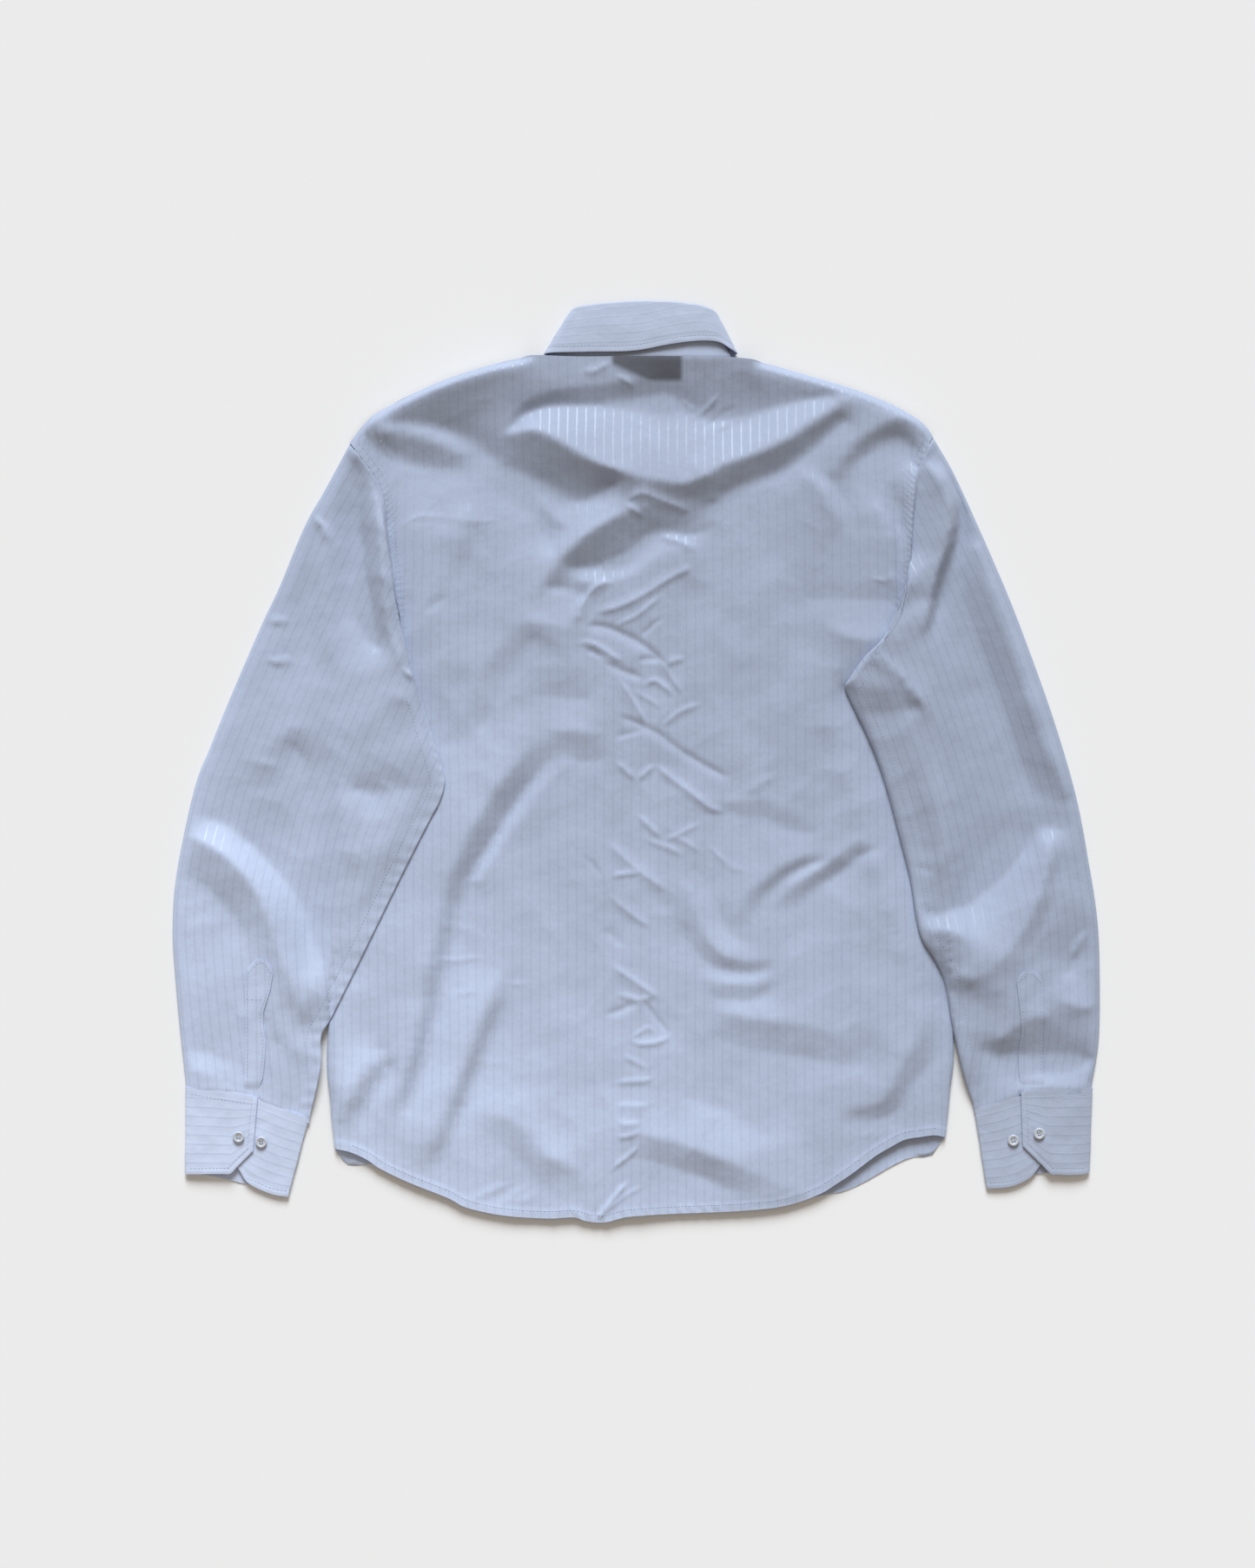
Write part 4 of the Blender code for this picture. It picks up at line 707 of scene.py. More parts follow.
def span_creases(creases, rounds=60, softening=2):
    """Heights of a cloth that is stretched between its creases, from coarse to fine."""
    total, count = np.zeros((GRID_ROWS, GRID_COLUMNS)), np.zeros((GRID_ROWS, GRID_COLUMNS))
    for points in creases.values():
        x, y, height = spaced(smooth_line(points, 5), 1.0).T
        cell = (np.rint((y - GRID_Y) / CELL).astype(int), np.rint((x - GRID_X) / CELL).astype(int))
        np.add.at(total, cell, height)
        np.add.at(count, cell, 1)
    levels = [(total, count)]
    while min(levels[-1][0].shape) > 12:
        levels.append((halve(levels[-1][0]), halve(levels[-1][1])))
    height = None
    for total, count in reversed(levels):
        held, value = count > 0, total / np.maximum(count, 1)
        if height is None:
            height = np.full(total.shape, value[held].mean())
        else:
            row, column = np.indices(total.shape)
            height = read_grid(height, (row - 0.5) / 2, (column - 0.5) / 2)
        for _ in range(rounds):
            height = np.where(held, value, neighbours(height))
    for _ in range(softening):
        height = 0.5 * height + 0.5 * neighbours(height)
    return height


@functools.lru_cache(maxsize=None)
def crease_grid(part):
    tables = {"back": BACK_CREASES, "left": LEFT_SLEEVE_CREASES, "right": RIGHT_SLEEVE_CREASES}
    return span_creases(tables[part])


def small_crease(x, y, crease):
    """A ridge or a groove along a path that dies away at both ends and narrows there."""
    line = smooth_line(crease.path, 4)
    reach = max(crease.left, crease.right)
    low, high = line.min(0) - reach, line.max(0) + reach
    close = (x > low[0]) & (x < high[0]) & (y > low[1]) & (y < high[1])
    out = np.zeros(x.shape)
    if not close.any():
        return out
    distance, side, along = nearest(x[close], y[close], line)
    length = lengths_along(line)[-1]
    swell = smooth(np.minimum(along, length - along) / min(0.35 * length, 14))
    width = np.where(side > 0, crease.left, crease.right) * (0.4 + 0.6 * swell)
    sides = (1 - np.clip(distance / width, 0, 1)) ** 1.5
    out[close] = swell * (crease.height * sides + crease.line * np.exp(-(distance / 1.3) ** 2))
    return out


def ripples(x, y, seed, height, lengths=(20, 90), count=26):
    """Faint waves in many directions, with soft creases, as in cotton that lay folded."""
    chance = np.random.default_rng(seed)
    waves = []
    for _ in range(2):
        total = np.zeros(np.shape(x))
        for _ in range(count):
            turn, phase = chance.uniform(0, 2 * math.pi, 2)
            length = chance.uniform(*lengths)
            across = x * math.cos(turn) + y * math.sin(turn)
            total += length / lengths[1] * np.sin(2 * math.pi * across / length + phase)
        waves.append(total / math.sqrt(count / 6))
    return height * (0.7 * waves[0] - 0.8 * np.abs(waves[1]))


def cloth_relief(part, small, x, y):
    """Height of a part's folds over its usual level."""
    row, column = (y - GRID_Y) / CELL, (x - GRID_X) / CELL
    height = read_grid(crease_grid(part), row, column)
    height = height + sum(small_crease(x, y, crease) for crease in small)
    return height + ripples(x, y, *RIPPLES[part])


# Lines from which the body's heights are measured
ROLLED = [smooth_line(LEFT_SIDE[:5]), smooth_line(SHOULDERS[:6]), smooth_line(RIGHT_SIDE[:5]),
          smooth_line(SHOULDERS[11:])]
HEM_LINE = smooth_line(HEM)
BODY_LOOP = np.vstack([HEM_LINE, smooth_line(RIGHT_SIDE)[1:], smooth_line(SHOULDERS)[::-1][1:],
                       smooth_line(LEFT_SIDE)[::-1]])


def collar_lift(x, y):
    """Where the fronts lie over the collar leaf, from 0 to 1."""
    return smooth((y - COLLAR_LIFT_FROM) / 25) * (1 - smooth((np.abs(x) - COLLAR_LIFT_HALF) / 40))


def front_left_bottom(x, y):
    over_buttons = smooth((x + 55) / 32)
    return BUTTON_LIFT * (1 - (1 - over_buttons) * (1 - collar_lift(x, y)))


def front_right_bottom(x, y):
    return np.maximum(FRONT_OVER_FRONT * (1 - smooth((x - 22) / 40)),
                      BUTTON_LIFT * collar_lift(x, y))


def fronts_top(x, y):
    left = np.where(x < PLACKET[1] + 6, front_left_bottom(x, y), 0)
    right = np.where(x > PLACKET[0] - 6, front_right_bottom(x, y), 0)
    return np.maximum(left, right) + FRONT_TOP


def back_height(x, y):
    """Height of the back's outer face."""
    edge = np.min([nearest(x, y, line)[0] for line in ROLLED], axis=0)
    from_hem, _, along = nearest(x, y, HEM_LINE)
    loft = round_edge(edge, EDGE_ROLL) * (0.5 + 0.5 * smooth(from_hem / 60))
    relief = cloth_relief("back", BACK_SMALL, x, y)
    turned_up = 1 - smooth((from_hem - HEM_DEPTH) / 1.5)
    puckers = 0.22 * np.sin(along / 1.7 + from_hem * 0.5 + 2 * np.sin(along / 23))
    # The cloth is pressed flat where it meets its own edges
    height = EDGE_TOP + (PILLOW - EDGE_TOP) * loft + relief * smooth(edge / 6)
    height += turned_up * (HEM_RISE + puckers)
    # Puckers about 5 mm apart, drawn up by the armholes' seams
    for line in (LEFT_ARMHOLE, RIGHT_ARMHOLE):
        from_seam, _, down = nearest(x, y, smooth_line(line))
        height += 0.4 * np.exp(-(from_seam / 7) ** 2) * np.sin(down / 0.85 + np.sin(down / 9))
    least = fronts_top(x, y) + OVER_FRONTS
    return (height + least + np.sqrt((height - least) ** 2 + 1.2)) / 2


def sleeve_bottom(x, y, crossing_y, from_inner):
    """Height of a sleeve's lower face: on the surface, or lifted over the body.

    Its inner edge rests on the body, and farther in it spans the body's hollows.
    """
    distance, side, _ = nearest(x, y, BODY_LOOP)
    skirt = smooth((side * distance + SKIRT_OUT) / (SKIRT_OUT + SKIRT_IN))
    crossing = smooth((crossing_y + 40 - y) / 40)
    body = back_height(x, y)
    span = np.maximum(body, PILLOW) + OVER_BODY - body - ON_BODY
    return skirt * crossing * (body + ON_BODY + span * smooth(from_inner / 40))


def grid_normals(points, closed):
    if closed:
        across = np.roll(points, -1, axis=1) - np.roll(points, 1, axis=1)
    else:
        across = np.gradient(points, axis=1)
    normal = np.cross(across, np.gradient(points, axis=0))
    return normal / np.maximum(np.linalg.norm(normal, axis=2, keepdims=True), 1e-9)


def shell_faces(rows, columns, closed):
    """Faces of a shell whose inner face has half the outer one's rows and columns."""
    inner_rows, inner_columns = (rows + 1) // 2, (columns + (0 if closed else 1)) // 2

    def outer(i, j):
        return i * columns + j % columns

    def inner(i, j):
        return rows * columns + i * inner_columns + j % inner_columns

    last = 0 if closed else 1
    faces = [(outer(i, j), outer(i, j + 1), outer(i + 1, j + 1), outer(i + 1, j))
             for i in range(rows - 1) for j in range(columns - last)]
    faces += [(inner(i, j), inner(i + 1, j), inner(i + 1, j + 1), inner(i, j + 1))
              for i in range(inner_rows - 1) for j in range(inner_columns - last)]
    for k in range(inner_columns - last):
        faces.append((outer(0, 2 * k + 2), outer(0, 2 * k + 1), outer(0, 2 * k),
                      inner(0, k), inner(0, k + 1)))
        top = rows - 1
        faces.append((outer(top, 2 * k), outer(top, 2 * k + 1), outer(top, 2 * k + 2),
                      inner(inner_rows - 1, k + 1), inner(inner_rows - 1, k)))
    if not closed:
        for k in range(inner_rows - 1):
            faces.append((outer(2 * k, 0), outer(2 * k + 1, 0), outer(2 * k + 2, 0),
                          inner(k + 1, 0), inner(k, 0)))
            end = columns - 1
            faces.append((outer(2 * k + 2, end), outer(2 * k + 1, end), outer(2 * k, end),
                          inner(k, inner_columns - 1), inner(k + 1, inner_columns - 1)))
    return faces


def shell(name, points, cut, wall, surface, closed=False):
    """A thin closed shell through points[row][column] on its outer face.

    cut is each point's place on the flat cloth, across the stripes and along them.
    """
    inner = points - grid_normals(points, closed) * wall
    for face in (points, inner):
        face[..., 2] = np.maximum(face[..., 2], 0.03)
    places = np.concatenate([points.reshape(-1, 3), inner[::2, ::2].reshape(-1, 3)]) * MM
    mesh = bpy.data.meshes.new(name)
    mesh.from_pydata(places.tolist(), [], shell_faces(*points.shape[:2], closed))
    on_cut = np.concatenate([cut.reshape(-1, 2), cut[::2, ::2].reshape(-1, 2)]) * MM
    corner = np.empty(len(mesh.loops), dtype=np.int32)
    mesh.loops.foreach_get("vertex_index", corner)
    mesh.uv_layers.new(name="cut").data.foreach_set("uv", on_cut[corner].astype("f").ravel())
    return add_piece(name, mesh, surface)


def add_piece(name, mesh, *surfaces, sharp=1.1):
    for surface in surfaces:
        mesh.materials.append(surface)
    mesh.shade_smooth()
    mesh.set_sharp_from_angle(angle=sharp)
    made = bpy.data.objects.new(name, mesh)
    bpy.context.scene.collection.objects.link(made)
    return made


def settle(piece, slot, *nodes):
    """Rides a finished piece on the shirt and lets it stand for its solids."""
    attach(piece, "root")
    if nodes:
        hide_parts(*nodes)


def odd(count):
    """A count, or one less if it is even: shells need odd numbers of rows and columns."""
    return (int(count) - 1) // 2 * 2 + 1


def shares(count, width, edge_steps):
    """Places across a panel, with extra ones these millimetres inside each edge."""
    edges = np.array(edge_steps) / width
    inner = np.linspace(edges[-1], 1 - edges[-1], count)
    return np.concatenate([edges[:-1], inner, 1 - edges[:-1][::-1]])


def panel_plan(hem, top, left, right, u, v):
    """X and Y of a panel's grid between its four edges."""
    left_y = left[0][1] + v * (left[-1][1] - left[0][1])
    right_y = right[0][1] + v * (right[-1][1] - right[0][1])
    start = np.interp(left_y, left[:, 1], left[:, 0])[:, None]
    end = np.interp(right_y, right[:, 1], right[:, 0])[:, None]
    low = np.interp(hem[0][0] + u * (hem[-1][0] - hem[0][0]), hem[:, 0], hem[:, 1])
    high = np.interp(top[0][0] + u * (top[-1][0] - top[0][0]), top[:, 0], top[:, 1])
    return start + (end - start) * u[None, :], low[None, :] + (high - low)[None, :] * v[:, None]


def patch_plan(first, last, outer, inner, u, v):
    """X and Y of a patch between two ends and two sides."""
    a, b = at(first, u)[None], at(last, u)[None]
    c, d = at(outer, v)[:, None], at(inner, v)[:, None]
    u, v = u[None, :, None], v[:, None, None]
    corners = ((1 - u) * (1 - v) * first[0] + u * (1 - v) * first[-1]
               + (1 - u) * v * last[0] + u * v * last[-1])
    plan = (1 - v) * a + v * b + (1 - u) * c + u * d - corners
    return plan[..., 0], plan[..., 1]


def body_cut(points):
    """Places on the flat cloth of a panel whose stripes run up the body.

    Folds take up cloth, so the stripes move a little towards each fold.
    """
    step = np.diff(points[..., 0], axis=1)
    rise = np.diff(points[..., 2], axis=1)
    taken = np.concatenate([np.zeros((len(points), 1)),
                            np.cumsum(np.hypot(step, rise) - np.abs(step), axis=1)], axis=1)
    taken -= taken.mean(axis=1, keepdims=True)
    return np.dstack([points[..., 0] + 0.6 * taken, points[..., 1]])


def top_of(piece):
    """A function that gives the height of a piece's upper face over x and y."""
    faces = [tuple(face.vertices) for face in piece.data.polygons]
    tree = BVHTree.FromPolygons([vertex.co for vertex in piece.data.vertices], faces)

    def height(x, y):
        hit = tree.ray_cast(Vector((x, y, 200)) * MM, Vector((0, 0, -1)))[0]
        return None if hit is None else hit.z / MM

    return height


def add_node(tree, kind, inputs=None, **settings):
    """A node with its settings, its inputs given as values or as other nodes' outputs."""
    node = tree.nodes.new(kind)
    for key, value in settings.items():
        setattr(node, key, value)
    for key, value in (inputs or {}).items():
        if isinstance(value, bpy.types.NodeSocket):
            tree.links.new(value, node.inputs[key])
        else:
            node.inputs[key].default_value = value
    return node


def new_material(name):
    made = bpy.data.materials.new(name)
    made.use_nodes = True
    return made, made.node_tree, made.node_tree.nodes["Principled BSDF"]


@functools.lru_cache(maxsize=None)
def shirting(use):
    """Washed cotton shirting, a plain weave with satin stripes: matt, with a faint bloom.

    The stripes' long floats catch the light, so they are smoother than the ground. The dark
    label shows through the back.
    """
    cloth = bpy.context.scene.shirt_cloth
    part_tone = PART_TONES.get(use, 1.0)
    made, tree, shader = new_material(f"Cotton shirting of the {use}")
    cut = add_node(tree, "ShaderNodeUVMap", uv_map="cut").outputs[0]
    spots = add_node(tree, "ShaderNodeTexCoord").outputs["Object"]
    across = add_node(tree, "ShaderNodeSeparateXYZ", {0: cut}).outputs[0]
    turns = add_node(tree, "ShaderNodeMath", {0: across, 1: cloth.stripe_pitch},
                     operation="DIVIDE").outputs[0]
    turns = add_node(tree, "ShaderNodeMath", {0: turns}, operation="FRACT").outputs[0]
    off = add_node(tree, "ShaderNodeMath", {0: turns, 1: 0.5}, operation="SUBTRACT").outputs[0]
    off = add_node(tree, "ShaderNodeMath", {0: off}, operation="ABSOLUTE").outputs[0]
    half = cloth.stripe_width / cloth.stripe_pitch / 2
    stripe = add_node(tree, "ShaderNodeMapRange", {0: off, 1: half + STRIPE_FADE,
                                                 2: half - STRIPE_FADE},
                      interpolation_type="SMOOTHSTEP").outputs[0]
    # Clouds of slightly uneven tone, about 60 mm across
    clouds = add_node(tree, "ShaderNodeTexNoise",
                      {"Vector": spots, "Scale": 16.0, "Detail": 3.0}).outputs[0]
    # Slubs, thick places in a yarn, 0.7 mm by 6 mm: drawn coarser than life to show
    slubs = add_node(tree, "ShaderNodeMapping",
                     {"Vector": cut, "Scale": (1400.0, 160.0, 1.0)}).outputs[0]
    slubs = add_node(tree, "ShaderNodeTexNoise",
                     {"Vector": slubs, "Scale": 1.0, "Detail": 2.0}).outputs[0]
    # The white interlining of collar and cuffs takes some of the blue away
    tint = (1, 0.985, 0.96) if part_tone > 1 else (1, 1, 1)
    ground, satin = ((*(part * share for part, share in zip(colour, tint)), 1)
                     for colour in (cloth.ground, cloth.stripe))
    colour = add_node(tree, "ShaderNodeMix", {0: stripe, 6: ground, 7: satin},
                      data_type="RGBA").outputs[2]
    shade = add_node(tree, "ShaderNodeMapRange",
                     {0: clouds, 1: 0.3, 2: 0.7, 3: 0.95, 4: 1.045}).outputs[0]
    # Painted light: the cloth is painted paler towards the tail and the left cuff and a little darker
    # towards the right shoulder, as if lit more brightly low down on the left
    painted_light_share = add_node(tree, "ShaderNodeVectorMath", {0: spots, 1: (-0.6, -0.8, 0.0)},
                    operation="DOT_PRODUCT").outputs["Value"]
    painted_light_share = add_node(tree, "ShaderNodeMapRange", {0: painted_light_share, 1: -0.34, 2: 0.5}).outputs[0]
    part_tone_and_painted_light = add_node(tree, "ShaderNodeMath", {0: painted_light_share, 1: 2.2}, operation="POWER").outputs[0]
    part_tone_and_painted_light = add_node(tree, "ShaderNodeMath", {0: part_tone_and_painted_light, 1: 0.63 * part_tone, 2: 0.885 * part_tone},
                     operation="MULTIPLY_ADD").outputs[0]
    shade = add_node(tree, "ShaderNodeMath", {0: shade, 1: part_tone_and_painted_light}, operation="MULTIPLY").outputs[0]
    grain = add_node(tree, "ShaderNodeMapRange",
                     {0: slubs, 1: 0.3, 2: 0.7, 3: 0.965, 4: 1.035}).outputs[0]
    shade = add_node(tree, "ShaderNodeMath", {0: shade, 1: grain}, operation="MULTIPLY").outputs[0]
    colour = add_node(tree, "ShaderNodeVectorMath", {0: colour, "Scale": shade},
                      operation="SCALE").outputs[0]
    if use == "back":
        colour = label_shadow(tree, spots, colour, cloth.label)
    tree.links.new(colour, shader.inputs["Base Color"])
    rough = add_node(tree, "ShaderNodeMapRange", {0: stripe, 3: 0.9, 4: 0.48}).outputs[0]
    tree.links.new(rough, shader.inputs["Roughness"])
    shader.inputs["Specular IOR Level"].default_value = 0.7
    shader.inputs["Sheen Weight"].default_value = 0.12
    shader.inputs["Sheen Roughness"].default_value = 0.5
    relief = add_node(tree, "ShaderNodeMath", {0: slubs, 1: stripe}, operation="ADD").outputs[0]
    bump = add_node(tree, "ShaderNodeBump", {"Height": relief, "Strength": 0.25,
                                             "Distance": 0.0002}).outputs[0]
    # Fine crumples about 14 mm across, left by wear
    crumple = add_node(tree, "ShaderNodeTexNoise",
                       {"Vector": spots, "Scale": 70.0, "Detail": 2.0}).outputs[0]
    bump = add_node(tree, "ShaderNodeBump", {"Height": crumple, "Strength": 0.35,
                                             "Distance": 0.0015, "Normal": bump}).outputs[0]
    tree.links.new(bump, shader.inputs["Normal"])
    return made


def label_shadow(tree, spots, colour, dark):
    """The dark label under the cloth, dimmed and blurred by it, cut off by the swag."""
    place = add_node(tree, "ShaderNodeSeparateXYZ", {0: spots})
    x, y = place.outputs[0], place.outputs[1]
    masks = []
    # The fold's lit crest hides the label's lower left corner
    slope = add_node(tree, "ShaderNodeMath", {0: x, 1: 0.45, 2: y},
                     operation="MULTIPLY_ADD").outputs[0]
    for value, low, high in ((x, LABEL_X[0] - 2, LABEL_X[0] + 4),
                             (x, LABEL_X[1] + 2, LABEL_X[1] - 4),
                             (y, LABEL_Y[0] - 3, LABEL_Y[0] + 3), (slope, 334, 342)):
        masks.append(add_node(tree, "ShaderNodeMapRange", {0: value, 1: low * MM, 2: high * MM},
                              interpolation_type="SMOOTHSTEP").outputs[0])
    # The cloth in front keeps a fifth of its own colour
    seen = 0.8
    for mask in masks:
        seen = add_node(tree, "ShaderNodeMath", {0: seen, 1: mask}, operation="MULTIPLY").outputs[0]
    return add_node(tree, "ShaderNodeMix", {0: seen, 6: colour, 7: (*dark, 1)},
                    data_type="RGBA").outputs[2]


@functools.lru_cache(maxsize=None)
def sewing_thread():
    """Spun polyester sewing thread: matt, with a soft edge to its highlight."""
    made, tree, shader = new_material("Spun polyester thread")
    spots = add_node(tree, "ShaderNodeTexCoord").outputs["Object"]
    # Fibres that lie unevenly, about 1 mm across
    noise = add_node(tree, "ShaderNodeTexNoise", {"Vector": spots, "Scale": 900.0}).outputs[0]
    colour = bpy.context.scene.shirt_trim.thread_colour
    darker = [0.8 * c for c in colour]
    colour = add_node(tree, "ShaderNodeMix", {0: noise, 6: (*darker, 1), 7: (*colour, 1)},
                      data_type="RGBA").outputs[2]
    tree.links.new(colour, shader.inputs["Base Color"])
    shader.inputs["Roughness"].default_value = 0.6
    return made


@functools.lru_cache(maxsize=None)
def button_resin():
    """Cast polyester resin, polished: pale, slightly clouded, with clean highlights."""
    made, tree, shader = new_material("Cast polyester resin")
    spots = add_node(tree, "ShaderNodeTexCoord").outputs["Object"]
    # Clouds about 2.6 mm across
    clouds = add_node(tree, "ShaderNodeTexNoise", {"Vector": spots, "Scale": 380.0,
                                                   "Detail": 2.0, "Distortion": 1.2}).outputs[0]
    colour = bpy.context.scene.shirt_trim.button
    darker = [0.78 * c for c in colour]
    colour = add_node(tree, "ShaderNodeMix", {0: clouds, 6: (*darker, 1), 7: (*colour, 1)},
                      data_type="RGBA").outputs[2]
    tree.links.new(colour, shader.inputs["Base Color"])
    shader.inputs["Roughness"].default_value = 0.28
    shader.inputs["IOR"].default_value = 1.55
    shader.inputs["Subsurface Weight"].default_value = 0.15
    shader.inputs["Subsurface Radius"].default_value = (0.001, 0.001, 0.001)
    return made


@functools.lru_cache(maxsize=None)
def label_satin():
    """Damask-woven polyester label, blank: dark, fine ribs across it, a dull sheen."""
    made, tree, shader = new_material("Damask-woven label")
    cut = add_node(tree, "ShaderNodeUVMap", uv_map="cut").outputs[0]
    # Ribs about 1 mm apart, coarser than life to show
    ribs = add_node(tree, "ShaderNodeTexWave", {"Vector": cut, "Scale": 320.0, "Distortion": 0.3},
                    bands_direction="Y").outputs[1]
    colour = bpy.context.scene.shirt_cloth.label
    lighter = [1.35 * c for c in colour]
    colour = add_node(tree, "ShaderNodeMix", {0: ribs, 6: (*colour, 1), 7: (*lighter, 1)},
                      data_type="RGBA").outputs[2]
    tree.links.new(colour, shader.inputs["Base Color"])
    shader.inputs["Roughness"].default_value = 0.55
    bump = add_node(tree, "ShaderNodeBump", {"Height": ribs, "Strength": 0.3, "Distance": 0.0001})
    tree.links.new(bump.outputs[0], shader.inputs["Normal"])
    return made


@functools.lru_cache(maxsize=None)
def stitch_tree():
    """Stitches along curves: each a bead of thread laid along the line."""
    tree = bpy.data.node_groups.new("Stitches along a seam", "GeometryNodeTree")
    tree.is_modifier = True
    faces = tree.interface
    faces.new_socket("Geometry", in_out="INPUT", socket_type="NodeSocketGeometry")
    for name in ("Pitch", "Length", "Thickness"):
        faces.new_socket(name, in_out="INPUT", socket_type="NodeSocketFloat")
    faces.new_socket("Material", in_out="INPUT", socket_type="NodeSocketMaterial")
    faces.new_socket("Geometry", in_out="OUTPUT", socket_type="NodeSocketGeometry")
    given = tree.nodes.new("NodeGroupInput").outputs
    points = add_node(tree, "GeometryNodeCurveToPoints",
                      {"Curve": given["Geometry"], "Length": given["Pitch"]}, mode="LENGTH")
    turned = add_node(tree, "FunctionNodeAlignRotationToVector",
                      {"Vector": points.outputs["Tangent"]}, axis="X")
    size = add_node(tree, "ShaderNodeCombineXYZ", {0: given["Length"], 1: given["Thickness"],
                                                   2: given["Thickness"]}).outputs[0]
    bead = add_node(tree, "GeometryNodeMeshUVSphere", {"Segments": 6, "Rings": 4, "Radius": 0.5})
    turned_bead = add_node(tree, "GeometryNodeTransform",
                           {"Geometry": bead.outputs["Mesh"],
                            "Rotation": (0, math.pi / 2, 0)}).outputs[0]
    placed = add_node(tree, "GeometryNodeInstanceOnPoints",
                      {"Points": points.outputs["Points"], "Instance": turned_bead,
                       "Rotation": turned.outputs[0], "Scale": size}).outputs[0]
    real = add_node(tree, "GeometryNodeRealizeInstances", {0: placed}).outputs[0]
    done = add_node(tree, "GeometryNodeSetMaterial",
                    {"Geometry": real, "Material": given["Material"]}).outputs[0]
    tree.links.new(done, tree.nodes.new("NodeGroupOutput").inputs[0])
    return tree


def sew(name, lines, slot="cotton"):
    """Stitches along lines of points in millimetres, as one plain mesh."""
    path = bpy.data.curves.new(name, "CURVE")
    path.dimensions = "3D"
    for line in lines:
        spline = path.splines.new("POLY")
        spline.points.add(len(line) - 1)
        for point, place in zip(spline.points, line):
            point.co = (*(np.array(place) * MM), 1)
    drawn = bpy.data.objects.new(name + "_path", path)
    bpy.context.scene.collection.objects.link(drawn)
    trim = bpy.context.scene.shirt_trim
    stitches = drawn.modifiers.new("stitches", "NODES")
    stitches.node_group = stitch_tree()
    values = {"Pitch": trim.stitch_pitch, "Length": trim.stitch_length,
              "Thickness": trim.thread, "Material": sewing_thread()}
    for item in stitch_tree().interface.items_tree:
        if item.in_out == "INPUT" and item.name in values:
            stitches[item.identifier] = values[item.name]
    depsgraph = bpy.context.evaluated_depsgraph_get()
    mesh = bpy.data.meshes.new_from_object(drawn.evaluated_get(depsgraph), depsgraph=depsgraph)
    bpy.data.objects.remove(drawn)
    mesh.name = name
    mesh.shade_smooth()
    made = bpy.data.objects.new(name, mesh)
    bpy.context.scene.collection.objects.link(made)
    settle(made, slot)
    return made


def laid_on(height, points, lift=0.05, step=2.0):
    """A line of points laid on a face, given its height over x and y."""
    line = spaced(smooth_line(points, 4), step)
    placed = [(x, y, height(x, y)) for x, y in line]
    return [(x, y, z + lift) for x, y, z in placed if z is not None]


def beside(points, away):
    """A line this far to the left of another as it runs, or to its right if negative."""
    line = spaced(smooth_line(points, 4), 4.0)
    ahead = np.gradient(line, axis=0)
    ahead /= np.linalg.norm(ahead, axis=1, keepdims=True)
    return line + away * np.stack([-ahead[:, 1], ahead[:, 0]], axis=1)


def area_of(points, closed=False):
    """Area in square metres of a grid of points."""
    if closed:
        points = np.concatenate([points, points[:, :1]], axis=1)
    first = np.cross(points[1:, :-1] - points[:-1, :-1], points[:-1, 1:] - points[:-1, :-1])
    second = np.cross(points[1:, :-1] - points[1:, 1:], points[:-1, 1:] - points[1:, 1:])
    return float(np.linalg.norm(first, axis=2).sum() + np.linalg.norm(second, axis=2).sum()) / 2e6


def wall_of_cloth():
    return bpy.context.scene.shirt_cloth.wall / MM


class SHIRT_OT_back(bpy.types.Operator):
    """Lay the back over the fronts, with its folds and its curved hem"""
    bl_idname = "shirt.back"
    bl_label = "Back"

    def execute(self, context):
        # The hem's width, and the length from the tail to the neck seam
        width, length = HEM[-1][0] - HEM[0][0], SHOULDERS[8][1] - HEM[9][1]
        # Finer along the middle, where the small creases lie over the placket
        u = np.array([0, 0.6, 2.5, *np.linspace(7, FINE_FROM, 47),
                      *np.arange(FINE_FROM + FINE_STEP, FINE_TO, FINE_STEP),
                      *np.linspace(FINE_TO, width - 7, 45), width - 2.5, width - 0.6, width])
        u = u[:odd(len(u))] / u[odd(len(u)) - 1]
        v = shares(odd(length / 2.1), length, (0, 0.6, 2.1))
        x, y = panel_plan(HEM_LINE, smooth_line(SHOULDERS), smooth_line(LEFT_SIDE),
                          smooth_line(RIGHT_SIDE), u, v)
        points = np.dstack([x, y, back_height(x, y)])
        back = shell("back_panel", points, body_cut(points), wall_of_cloth(),
                     shirting("back"))
        settle(back, "cotton", "back")
        height = top_of(back)
        hem = sew("hem_stitches", [laid_on(height, beside(HEM[1:-1], HEM_DEPTH - 0.8))])
        armholes = sew("armhole_stitches",
                       [laid_on(height, beside(LEFT_ARMHOLE, 6)[2:-3]),
                        laid_on(height, beside(RIGHT_ARMHOLE, -6)[2:-3])])
        return {"FINISHED"}


